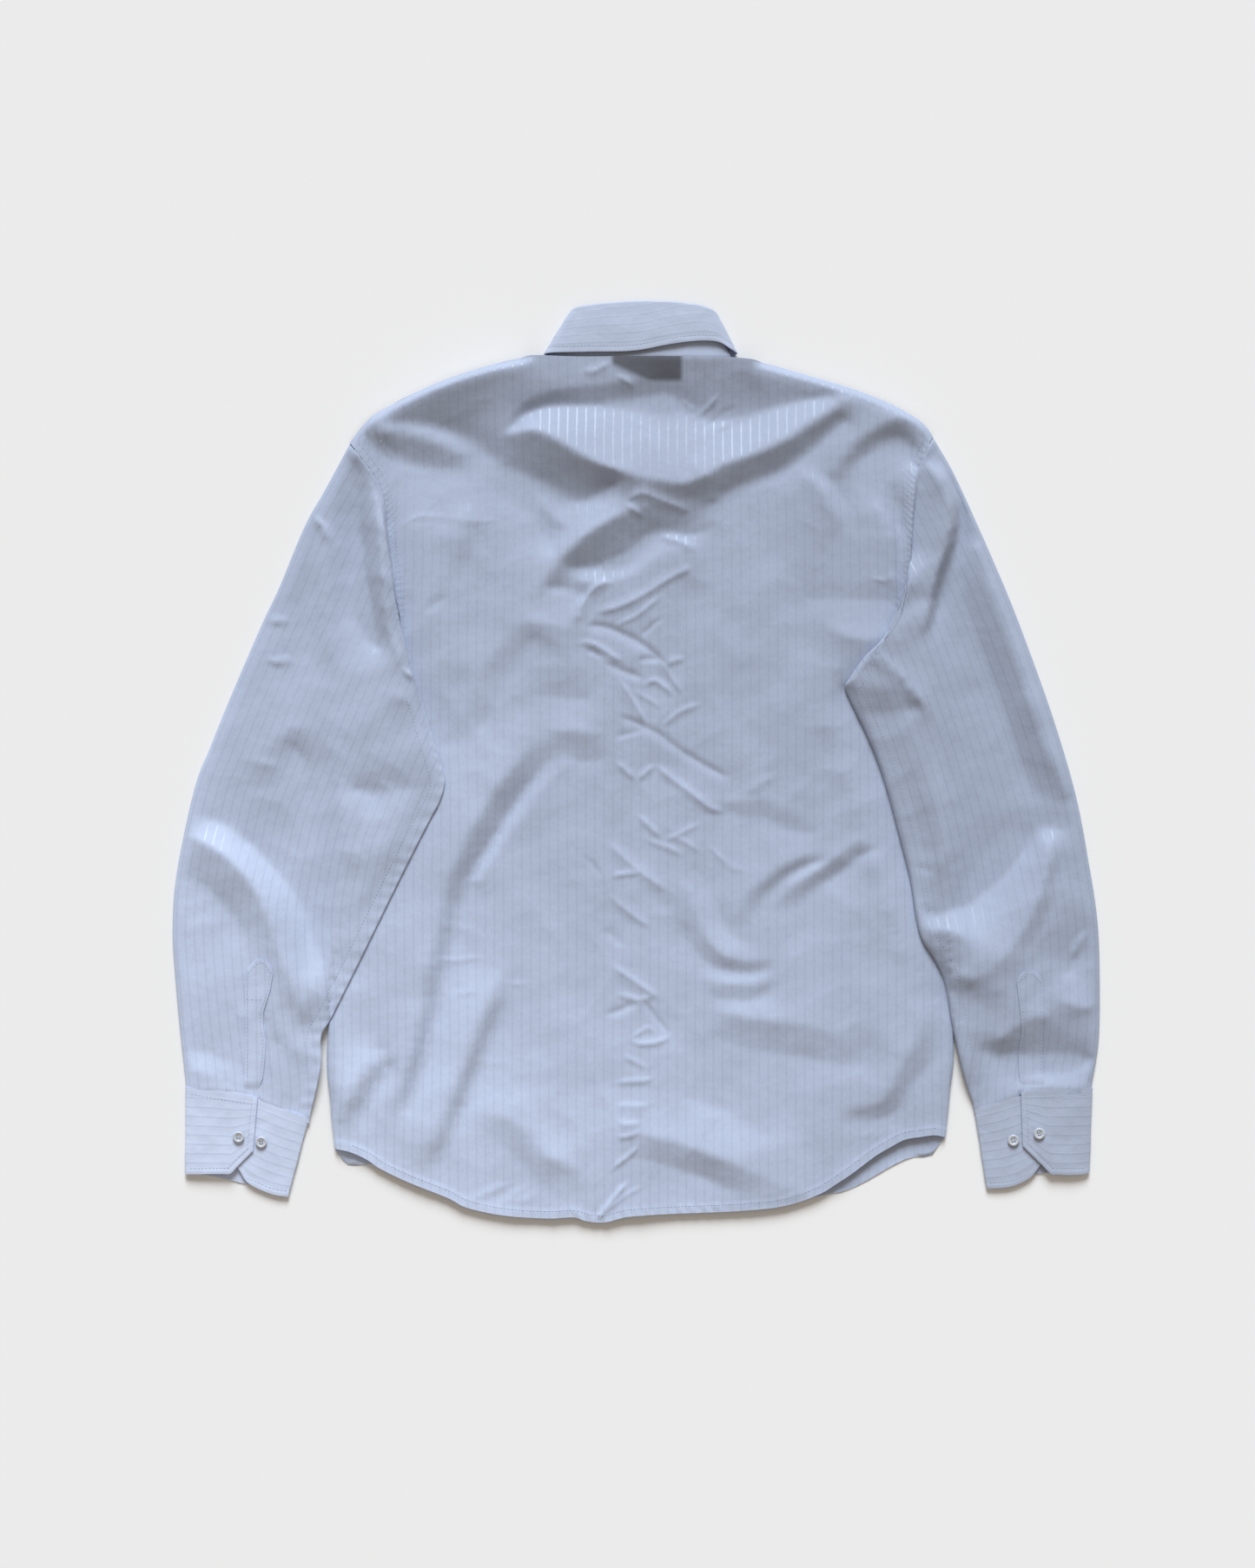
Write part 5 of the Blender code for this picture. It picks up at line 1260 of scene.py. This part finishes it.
class SHIRT_OT_fronts(bpy.types.Operator):
    """Lay the two fronts on the surface, overlapping at the placket"""
    bl_idname = "shirt.fronts"
    bl_label = "Fronts"

    def execute(self, context):
        left_edge = np.array([(PLACKET[1], FRONT_HEM_LEFT[-1][1]),
                              (PLACKET[1], NECKLINE_LEFT[-1][1])])
        right_edge = np.array([(PLACKET[0], FRONT_HEM_RIGHT[0][1]),
                               (PLACKET[0], NECKLINE_RIGHT[0][1])])
        self.lay("front_left_panel", "front_left", FRONT_HEM_LEFT, NECKLINE_LEFT,
                 smooth_line(LEFT_SIDE), left_edge, front_left_bottom)
        self.lay("front_right_panel", "front_right", FRONT_HEM_RIGHT, NECKLINE_RIGHT,
                 right_edge, smooth_line(RIGHT_SIDE), front_right_bottom)
        return {"FINISHED"}

    def lay(self, name, node, hem, top, left, right, bottom):
        hem_line, top_line = smooth_line(hem), smooth_line(top, 3)
        width = hem[-1][0] - hem[0][0]
        u = shares(odd(width / 4), width, (0, 0.6, 3))
        v = shares(odd(FRONT_LENGTH / 5), FRONT_LENGTH, (0, 0.8, 4))
        x, y = panel_plan(hem_line, top_line, left, right, u, v)
        from_hem, _, along = nearest(x, y, hem_line)
        turned_up = 1 - smooth((from_hem - HEM_DEPTH) / 2)
        puckers = 0.3 * np.sin(along / 1.7 + from_hem * 0.8 + np.sin(along / 13))
        z = bottom(x, y) + 0.12 * (1 + ripples(x, y, 5, 0.4)) * smooth(from_hem / 20)
        z = np.maximum(z, bottom(x, y)) + turned_up * (0.3 + puckers)
        points = np.dstack([x, y, z])
        panel = shell(name, points[:, ::-1], body_cut(points)[:, ::-1], wall_of_cloth(),
                      shirting("fronts"))
        settle(panel, "cotton", node)


def sleeve_points(armhole, seam, outer, inner, crossing_y, part, small):
    """Rings round a flattened sleeve, over its top and back underneath, and its cut."""
    v = shares(odd(SLEEVE_LENGTH / MESH_STEP), SLEEVE_LENGTH, (0, 0.8, 2.5))
    over = shares(49, 150, (0, 0.3, 0.8, 1.8, 3.6))
    under = shares(21, 150, (0, 0.3, 0.8, 1.8, 3.6))[-2:0:-1]
    width = np.hypot(*(at(outer, v) - at(inner, v)).T)[:, None]
    from_armhole, from_cuff = v[:, None] * SLEEVE_LENGTH, (1 - v)[:, None] * SLEEVE_LENGTH
    by_cuff = 1 - smooth(from_cuff / IN_CUFF)
    near_cuff = 1 - smooth(from_cuff / THINS_OVER)
    rings, cuts = [], []
    for share, face in ((over, 1), (under, -1)):
        x, y = patch_plan(armhole, seam, outer, inner, share, v)
        from_outer, from_inner = share[None, :] * width, (1 - share)[None, :] * width
        edge = np.minimum(from_outer, from_inner)
        reach = LEVEL_AT_INNER + (LEVEL_ELSEWHERE - LEVEL_AT_INNER) * smooth((from_inner - 25) / 30)
        by_armhole = 1 - smooth(from_armhole / reach)
        bottom = sleeve_bottom(x, y, crossing_y, from_inner)
        folds = SLEEVE_FOLDS * cloth_relief(part, small, x, y)
        top = bottom + SLEEVE_THICK + folds * smooth(edge / 8)
        # Thinner towards the cuff, and thinnest beside its overlap
        level = END_ABOVE_CUFF + END_BY_OVERLAP * smooth((np.abs(x) - OVERLAP[part] + 10) / 30)
        top += (level - SLEEVE_THICK) * near_cuff
        least = bottom + SLEEVE_LEAST
        top = (top + least + np.sqrt((top - least) ** 2 + 0.8)) / 2
        # Level with the back where it is sewn on, its end turned in, then tucked into the cuff
        top += (back_height(x, y) + 0.5 - top) * by_armhole
        top -= TURNED_IN * (1 - smooth(from_armhole / 1.5))
        in_cuff = END_IN_CUFF + END_BY_OVERLAP * smooth((np.abs(x) - OVERLAP[part]) / 8)
        top += (in_cuff - top) * by_cuff
        bottom = np.minimum(np.maximum(bottom, 1.5 * by_cuff), top - 1.4)
        # The left sleeve's felled seam lies flat on the body, the right one stands up
        by_seam = smooth(from_inner / 30) if part == "left" else round_edge(from_inner, 8)
        full = np.minimum(round_edge(from_outer, SLEEVE_ROLL), by_seam)
        thick = SEAM_THICK + np.maximum(top - bottom - SEAM_THICK, 0) * full
        if part == "left":
            # The felled seam's doubled cloth, 9.5 mm wide, puckered by its stitches
            felled = (1 - smooth((from_inner - 9.5) / 1.2)) * (1 - smooth((y - 10) / 30))
            thick += felled * (0.5 + 0.2 * np.sin(y / 1.9 + 2 * np.sin(y / 17)))
        half = thick / 2 * round_edge(edge, 1.2)
        rings.append(np.dstack([x, y, bottom + thick / 2 + face * half]))
        across, _, along = nearest(x, y, outer)
        cuts.append(np.dstack([across, along]))
    return np.concatenate(rings, axis=1), np.concatenate(cuts, axis=1)


class SHIRT_OT_sleeves(bpy.types.Operator):
    """Lay the sleeves down beside the body and over its sides"""
    bl_idname = "shirt.sleeves"
    bl_label = "Sleeves"

    def execute(self, context):
        self.lay("left", (LEFT_ARMHOLE, LEFT_CUFF_SEAM, LEFT_OUTER, LEFT_INNER),
                 LEFT_CROSSING, LEFT_SLEEVE_SMALL, -1)
        self.lay("right", (RIGHT_ARMHOLE, RIGHT_CUFF_SEAM, RIGHT_OUTER, RIGHT_INNER),
                 RIGHT_CROSSING, RIGHT_SLEEVE_SMALL, 1)
        return {"FINISHED"}

    def lay(self, side, lines, crossing_y, small, away):
        armhole, seam, outer, inner = (smooth_line(line) for line in lines)
        for end in (seam, outer[-1:], inner[-1:]):
            end[:, 1] -= SEAM_TUCK
        points, cut = sleeve_points(armhole, seam, outer, inner, crossing_y, side, small)
        points[..., 0] -= away * SEAM_LAP
        if away < 0:
            points, cut = points[:, ::-1], cut[:, ::-1]
        sleeve = shell(f"sleeve_{side}_tube", points, cut, wall_of_cloth(),
                       shirting("sleeves"), closed=True)
        settle(sleeve, "cotton", f"sleeve_{side}")
        height = top_of(sleeve)
        felled = sew(f"sleeve_{side}_stitches",
                     [laid_on(height, beside(lines[3], 12 * away)[14:-12])])
        round(area_of(points, True), 4)


def turned_edge(edge, rim, rim_at, rim_half, groove_at):
    """Relief by a stitched edge: a rim of turned-in cloth, then the groove of its stitches."""
    return (rim * np.exp(-((edge - rim_at) / rim_half) ** 2)
            - 0.3 * np.exp(-((edge - groove_at) / 1.0) ** 2))


def run_along(line):
    """Distance from a line's start to each of its points, in space."""
    return np.concatenate([[0], np.cumsum(np.linalg.norm(np.diff(line, axis=0), axis=1))])


def cuff_points(table):
    """The middle of a cuff's wall, and each row's share of the cuff's depth.

    Its upper edge reaches a little past its stations, over the sleeve's end.
    """
    line = smooth_line([tuple(station) for station in table], 8)
    share = shares(25, CUFF_DEPTH, (0, 0.5, 1.6))[:, None]
    top, low = line[:, [0, 1, 4]], line[:, [2, 3, 4]]
    points = low[None] + (top - low)[None] * share[..., None] * CUFF_REACH
    return points, share


class SHIRT_OT_cuffs(bpy.types.Operator):
    """Close the cuffs round the sleeves' ends, the cut corners over the underlaps"""
    bl_idname = "shirt.cuffs"
    bl_label = "Cuffs"

    def execute(self, context):
        for side, table in (("left", LEFT_CUFF), ("right", RIGHT_CUFF)):
            points, share = cuff_points(table)
            if side == "left":
                points = points[:, ::-1]
            points = points[:, :odd(points.shape[1])]
            length = run_along(points[len(points) // 2])
            depth = CUFF_DEPTH * share
            from_end = length[-1] - length if side == "left" else length
            edge = np.minimum(np.minimum(depth, CUFF_DEPTH - depth), from_end[None, :])
            relief = turned_edge(edge, 0.3, 2.4, 1.6, 5)
            # Ribs of the satin stripes, which lie across a cuff
            relief = relief + 0.07 * np.sin(depth * 2 * math.pi / 8) * smooth((edge - 5) / 4)
            relief = relief + ripples(points[..., 0], points[..., 1], 3, 0.12, (14, 40))
            normal = grid_normals(points, False)
            face = points + normal * (STIFF_WALL / 2 + relief)[..., None]
            cut = np.dstack([np.broadcast_to(depth, edge.shape) + 2.0,
                             np.broadcast_to(length[None], edge.shape)])
            cuff = shell(f"cuff_{side}_band", face, cut, STIFF_WALL, shirting("cuffs"))
            settle(cuff, "cotton_stiff", f"cuff_{side}")
            stitches = sew(f"cuff_{side}_stitches", self.topstitches(table, top_of(cuff)),
                           "cotton_stiff")
            round(area_of(points), 4)
        return {"FINISHED"}

    def topstitches(self, table, height):
        """Lines 5 mm inside the overlap's end and both of its long edges."""
        first = table[0]
        away = 1 if first.top_x < 0 else -1
        outer, corner = table[6], table[3]
        line = [(outer.top_x + away * 2, outer.top_y - 4.5),
                (first.top_x - away * 5, first.top_y - 5),
                (first.low_x - away * 5, first.low_y + 2),
                (corner.low_x - away * 2, corner.low_y + 5),
                (outer.low_x + away * 2, outer.low_y + 5)]
        pieces = [laid_on(height, [a, b], step=3.0) for a, b in zip(line, line[1:])]
        # The lower edge goes on beside the overlap
        under = [(station.low_x, station.low_y + rise)
                 for station, rise in zip(table[14:17], (5, 5, 4))]
        pieces.append(laid_on(height, under, step=3.0))
        return pieces


class SHIRT_OT_gauntlets(bpy.types.Operator):
    """Sew the gauntlet strips on the sleeves above the cuffs"""
    bl_idname = "shirt.gauntlets"
    bl_label = "Gauntlets"

    def execute(self, context):
        for side, table in (("left", LEFT_GAUNTLET), ("right", RIGHT_GAUNTLET)):
            height = top_of(bpy.data.objects[f"sleeve_{side}_tube"])
            rows = spaced(np.array([(row.y, 0, row.left, row.right) for row in table]), 2.4)
            rows = rows[:odd(len(rows))]
            share = shares(9, STRIP_WIDTH, (0, 0.5, 1.4))
            points = np.zeros((len(rows), len(share), 3))
            for i, (y, _, left, right) in enumerate(rows[::-1]):
                for j, x in enumerate(left + (right - left) * share):
                    points[i, j] = x, y, height(x, y) + 1.0
            points[..., 2] = 0.5 * points[..., 2] + 0.5 * neighbours(points[..., 2])
            # Its end goes down into the cuff's seam
            points[..., 2] -= 1.4 * (1 - smooth((points[..., 1] - table[-1].y) / 9))
            edge = np.minimum(share, 1 - share)[None, :] * STRIP_WIDTH
            points[..., 2] += 0.25 * smooth(edge / 1.2) - 0.2 * np.exp(-((edge - 2.4) / 0.8) ** 2)
            strip = shell(f"gauntlet_{side}_strip", points, points[..., :2].copy(),
                          wall_of_cloth(), shirting("gauntlets"))
            settle(strip, "cotton_stiff", f"gauntlet_{side}")
            on = top_of(strip)
            left_line = [(row.left + 2.2, row.y) for row in table[2:-1]]
            right_line = [(row.right - 2.2, row.y) for row in table[2:-1]]
            bar_y = table[0].y - 36
            bar = [(left_line[4][0], bar_y), (right_line[3][0], bar_y)]
            tip = [left_line[0], ((table[0].left + table[0].right) / 2, table[0].y - 3),
                   right_line[0]]
            stitches = sew(f"gauntlet_{side}_stitches",
                           [laid_on(on, line) for line in (left_line, right_line, bar, tip)],
                           "cotton_stiff")
        return {"FINISHED"}


def collar_points(table, rows, curl, crown):
    """The middle of a collar piece's wall, from its free edge over its roll line."""
    line = smooth_line([tuple(rib) for rib in table], 8)
    roll, edge = line[:, :3], line[:, 3:]
    share = np.linspace(0, 1, rows)[:, None, None]
    points = edge[None] + (roll - edge)[None] * share
    normal = grid_normals(points, False)
    points = points + normal * (crown * np.sin(math.pi * share))
    if curl:
        ahead = (roll - edge) / np.linalg.norm(roll - edge, axis=1, keepdims=True)
        turns = np.linspace(0.35, 2.4, 4)[:, None, None]
        rolled = (roll[None] + ahead[None] * curl * np.sin(turns)
                  - normal[-1][None] * curl * (1 - np.cos(turns)))
        points = np.concatenate([points, rolled])
    return points[:odd(points.shape[0]), :odd(points.shape[1])]


class SHIRT_OT_collar(bpy.types.Operator):
    """Fold the collar leaf over its stand"""
    bl_idname = "shirt.collar"
    bl_label = "Collar"

    def execute(self, context):
        for name, node, table, wall, curl, crown, flat in (
                ("collar_leaf_panel", "collar_leaf", LEAF, STIFF_WALL, 1.0, 0.5, (0.46, 0.075)),
                ("collar_stand_band", "collar_stand", STAND, STAND_WALL, 0, 0.2,
                 (0.44, 0.045))):
            points = collar_points(table, 21, curl, crown)
            normal = grid_normals(points, False)
            depth = np.linalg.norm(points - points[:1], axis=2)
            length = run_along(points[0])
            edge = np.minimum(depth, np.minimum(length, length[-1] - length)[None])
            relief = turned_edge(edge, 0.25, 2.6, 1.8, 5.2)
            relief = relief + ripples(points[..., 0], points[..., 1], 11, 0.12, (14, 40))
            face = points + normal * (wall / 2 + relief)[..., None]
            cut = np.dstack([depth + 3, np.broadcast_to(length[None], depth.shape)])
            piece = shell(name, face, cut, wall, shirting("collar"))
            settle(piece, "cotton_stiff", node)
            extra = []
            if node == "collar_leaf":
                height = top_of(piece)
                seam = [(rib.edge_x, rib.edge_y + 5.2) for rib in LEAF[7:14]]
                extra = [sew("collar_stitches", [laid_on(height, seam)], "cotton_stiff")]
        return {"FINISHED"}


class SHIRT_OT_label(bpy.types.Operator):
    """Sew the blank label inside the back of the neck"""
    bl_idname = "shirt.label"
    bl_label = "Neck label"

    def execute(self, context):
        x, y = np.meshgrid(np.linspace(*LABEL_X, 43), np.linspace(*LABEL_Y, 15))
        points = np.dstack([x, y, back_height(x, y) - wall_of_cloth() - 0.35])
        label = shell("neck_label_woven", points, points[..., :2].copy(), 0.4, label_satin())
        settle(label, "label_woven", "neck_label")
        return {"FINISHED"}


def four_hole_button():
    """A turned button: thin rounded edge, raised rim, dished middle and four holes."""
    profile = [(0.0, 1.2), (1.2, 1.2), (2.3, 1.22), (2.9, 1.45), (3.4, 1.78), (3.9, BUTTON_HIGH),
               (4.4, 1.84), (4.8, 1.58), (5.0, 1.15), (4.97, 0.75), (4.7, 0.4), (4.1, 0.14),
               (3.2, 0.0), (0.0, 0.0)]
    sides = 40
    disc = bmesh.new()
    rings = []
    for radius, z in profile[1:-1]:
        rings.append([disc.verts.new((radius * math.cos(2 * math.pi * i / sides),
                                      radius * math.sin(2 * math.pi * i / sides), z))
                      for i in range(sides)])
    top, bottom = disc.verts.new((0, 0, profile[0][1])), disc.verts.new((0, 0, 0))
    for i in range(sides):
        j = (i + 1) % sides
        disc.faces.new((top, rings[0][i], rings[0][j]))
        for first, second in zip(rings, rings[1:]):
            disc.faces.new((first[i], second[i], second[j], first[j]))
        disc.faces.new((rings[-1][i], bottom, rings[-1][j]))
    bmesh.ops.recalc_face_normals(disc, faces=disc.faces)
    mesh = bpy.data.meshes.new("button")
    disc.to_mesh(mesh)
    disc.free()
    drills = bmesh.new()
    for x in (-HOLE_OFF, HOLE_OFF):
        for y in (-HOLE_OFF, HOLE_OFF):
            made = bmesh.ops.create_cone(drills, cap_ends=True, segments=16, depth=4,
                                         radius1=HOLE_RADIUS, radius2=HOLE_RADIUS)
            bmesh.ops.translate(drills, verts=made["verts"], vec=(x, y, 1))
    drill_mesh = bpy.data.meshes.new("drills")
    drills.to_mesh(drill_mesh)
    drills.free()
    button = bpy.data.objects.new("button_blank", mesh)
    cutter = bpy.data.objects.new("button_drills", drill_mesh)
    for made in (button, cutter):
        bpy.context.scene.collection.objects.link(made)
    holes = button.modifiers.new("holes", "BOOLEAN")
    holes.operation, holes.object, holes.solver = "DIFFERENCE", cutter, "EXACT"
    depsgraph = bpy.context.evaluated_depsgraph_get()
    drilled = bpy.data.meshes.new_from_object(button.evaluated_get(depsgraph),
                                              depsgraph=depsgraph)
    bpy.data.objects.remove(button)
    bpy.data.objects.remove(cutter)
    return drilled


def thread_bars(solid):
    """Two bars of thread through a button's holes, added to a mesh."""
    bar = [(-HOLE_OFF, 0.5), (-0.9, 1.3), (-0.4, 1.55), (0.4, 1.55), (0.9, 1.3), (HOLE_OFF, 0.5)]
    for x in (-HOLE_OFF, HOLE_OFF):
        rings = []
        for y, z in bar:
            ring = []
            for k in range(6):
                a = 2 * math.pi * k / 6
                ring.append(solid.verts.new((x + 0.42 * math.cos(a), y, z + 0.22 * math.sin(a))))
            rings.append(ring)
        for first, second in zip(rings, rings[1:]):
            for k in range(6):
                face = solid.faces.new((first[k], second[k], second[(k + 1) % 6],
                                        first[(k + 1) % 6]))
                face.material_index = 1
        for ring in (rings[0], rings[-1]):
            solid.faces.new(ring).material_index = 1


class SHIRT_OT_buttons(bpy.types.Operator):
    """Sew on the cuffs', fronts' and collar's buttons"""
    bl_idname = "shirt.buttons"
    bl_label = "Buttons"

    def execute(self, context):
        blank = four_hole_button()
        nodes = sorted(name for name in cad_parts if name.startswith("button_"))
        chance = np.random.default_rng(4)
        for node in nodes:
            low, high = (Vector(corner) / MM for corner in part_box(node))
            under = node.startswith(("button_front", "button_collar"))
            solid = bmesh.new()
            solid.from_mesh(blank)
            thread_bars(solid)
            bmesh.ops.recalc_face_normals(solid, faces=solid.faces)
            turn = chance.uniform(0, math.pi)
            for vertex in solid.verts:
                x, y, z = vertex.co
                if under:
                    y, z = -y, BUTTON_HIGH - z
                vertex.co = (x * math.cos(turn) - y * math.sin(turn) + (low.x + high.x) / 2,
                             x * math.sin(turn) + y * math.cos(turn) + (low.y + high.y) / 2,
                             z + low.z)
                vertex.co *= MM
            mesh = bpy.data.meshes.new(node)
            solid.to_mesh(mesh)
            solid.free()
            button = add_piece(node + "_four_hole", mesh, button_resin(), sewing_thread(),
                               sharp=0.6)
            settle(button, "button_resin", node)
        bpy.data.meshes.remove(blank)
        return {"FINISHED"}


class SHIRT_OT_stage(bpy.types.Operator):
    """Set the floor, the soft light from beyond the collar and the camera above"""
    bl_idname = "shirt.stage"
    bl_label = "Floor, light and camera"

    def execute(self, context):
        stage = context.scene.shirt_stage
        mesh = bpy.data.meshes.new("floor")
        mesh.from_pydata([(-8, -8, 0), (8, -8, 0), (8, 8, 0), (-8, 8, 0)], [], [(0, 1, 2, 3)])
        # Uncoated paper on a roll: soft shadows, no highlight, a mottle about 1.4 mm across
        paper, tree, shader = new_material("Seamless paper")
        spots = add_node(tree, "ShaderNodeTexCoord").outputs["Object"]
        noise = add_node(tree, "ShaderNodeTexNoise", {"Vector": spots, "Scale": 700.0}).outputs[0]
        darker = [0.99 * c for c in stage.floor]
        colour = add_node(tree, "ShaderNodeMix", {0: noise, 6: (*darker, 1), 7: (*stage.floor, 1)},
                          data_type="RGBA").outputs[2]
        tree.links.new(colour, shader.inputs["Base Color"])
        shader.inputs["Roughness"].default_value = 0.95
        shader.inputs["Specular IOR Level"].default_value = 0.1
        mesh.materials.append(paper)
        floor = bpy.data.objects.new("floor", mesh)
        context.scene.collection.objects.link(floor)

        world = bpy.data.worlds.new("Studio")
        world.use_nodes = True
        background = world.node_tree.nodes["Background"]
        background.inputs["Color"].default_value = FILL_TINT
        background.inputs["Strength"].default_value = stage.fill
        context.scene.world = world
        lamp = bpy.data.lights.new("soft key", "SUN")
        lamp.energy = stage.key
        lamp.color = KEY_TINT
        lamp.angle = math.radians(KEY_SPREAD)
        key = bpy.data.objects.new("soft key", lamp)
        key.rotation_mode = "QUATERNION"
        key.rotation_quaternion = Vector(KEY_FROM).to_track_quat("Z", "Y")
        context.scene.collection.objects.link(key)

        lens = bpy.data.cameras.new("above")
        lens.sensor_width = 36
        lens.lens = 36 * stage.distance / (PIXEL * MM * IMAGE_TALL)
        lens.clip_end = 100
        camera = bpy.data.objects.new("above", lens)
        camera.location = (AIM[0] * MM, AIM[1] * MM, stage.distance + CLOTH_HEIGHT * MM)
        context.scene.collection.objects.link(camera)
        context.scene.camera = camera
        context.scene.view_settings.view_transform = "Standard"
        return {"FINISHED"}


class SHIRT_PT_pieces(bpy.types.Panel):
    """The shirt's pieces, in the order in which they are laid"""
    bl_label = "Shirt laid flat"
    bl_idname = "SHIRT_PT_pieces"
    bl_space_type = "VIEW_3D"
    bl_region_type = "UI"
    bl_category = "Shirt"

    def draw(self, context):
        for group in ("shirt_cloth", "shirt_trim", "shirt_stage"):
            box = self.layout.box()
            settings = getattr(context.scene, group)
            for name in settings.__annotations__:
                box.prop(settings, name)
        for operator in PIECES:
            self.layout.operator(operator.bl_idname)


SETTINGS = {"shirt_cloth": ShirtCloth, "shirt_trim": ShirtTrim, "shirt_stage": ShirtStage}
PIECES = (SHIRT_OT_stage, SHIRT_OT_fronts, SHIRT_OT_back, SHIRT_OT_sleeves, SHIRT_OT_cuffs,
          SHIRT_OT_gauntlets, SHIRT_OT_collar, SHIRT_OT_label, SHIRT_OT_buttons)


def register():
    for name, group in SETTINGS.items():
        bpy.utils.register_class(group)
        setattr(bpy.types.Scene, name, bpy.props.PointerProperty(type=group))
    for made in (*PIECES, SHIRT_PT_pieces):
        bpy.utils.register_class(made)


def unregister():
    for made in (SHIRT_PT_pieces, *reversed(PIECES)):
        bpy.utils.unregister_class(made)
    for name, group in SETTINGS.items():
        delattr(bpy.types.Scene, name)
        bpy.utils.unregister_class(group)


def main():
    register()
    for operator in PIECES:
        group, name = operator.bl_idname.split(".")
        getattr(getattr(bpy.ops, group), name)()


if __name__ == "__main__":
    main()
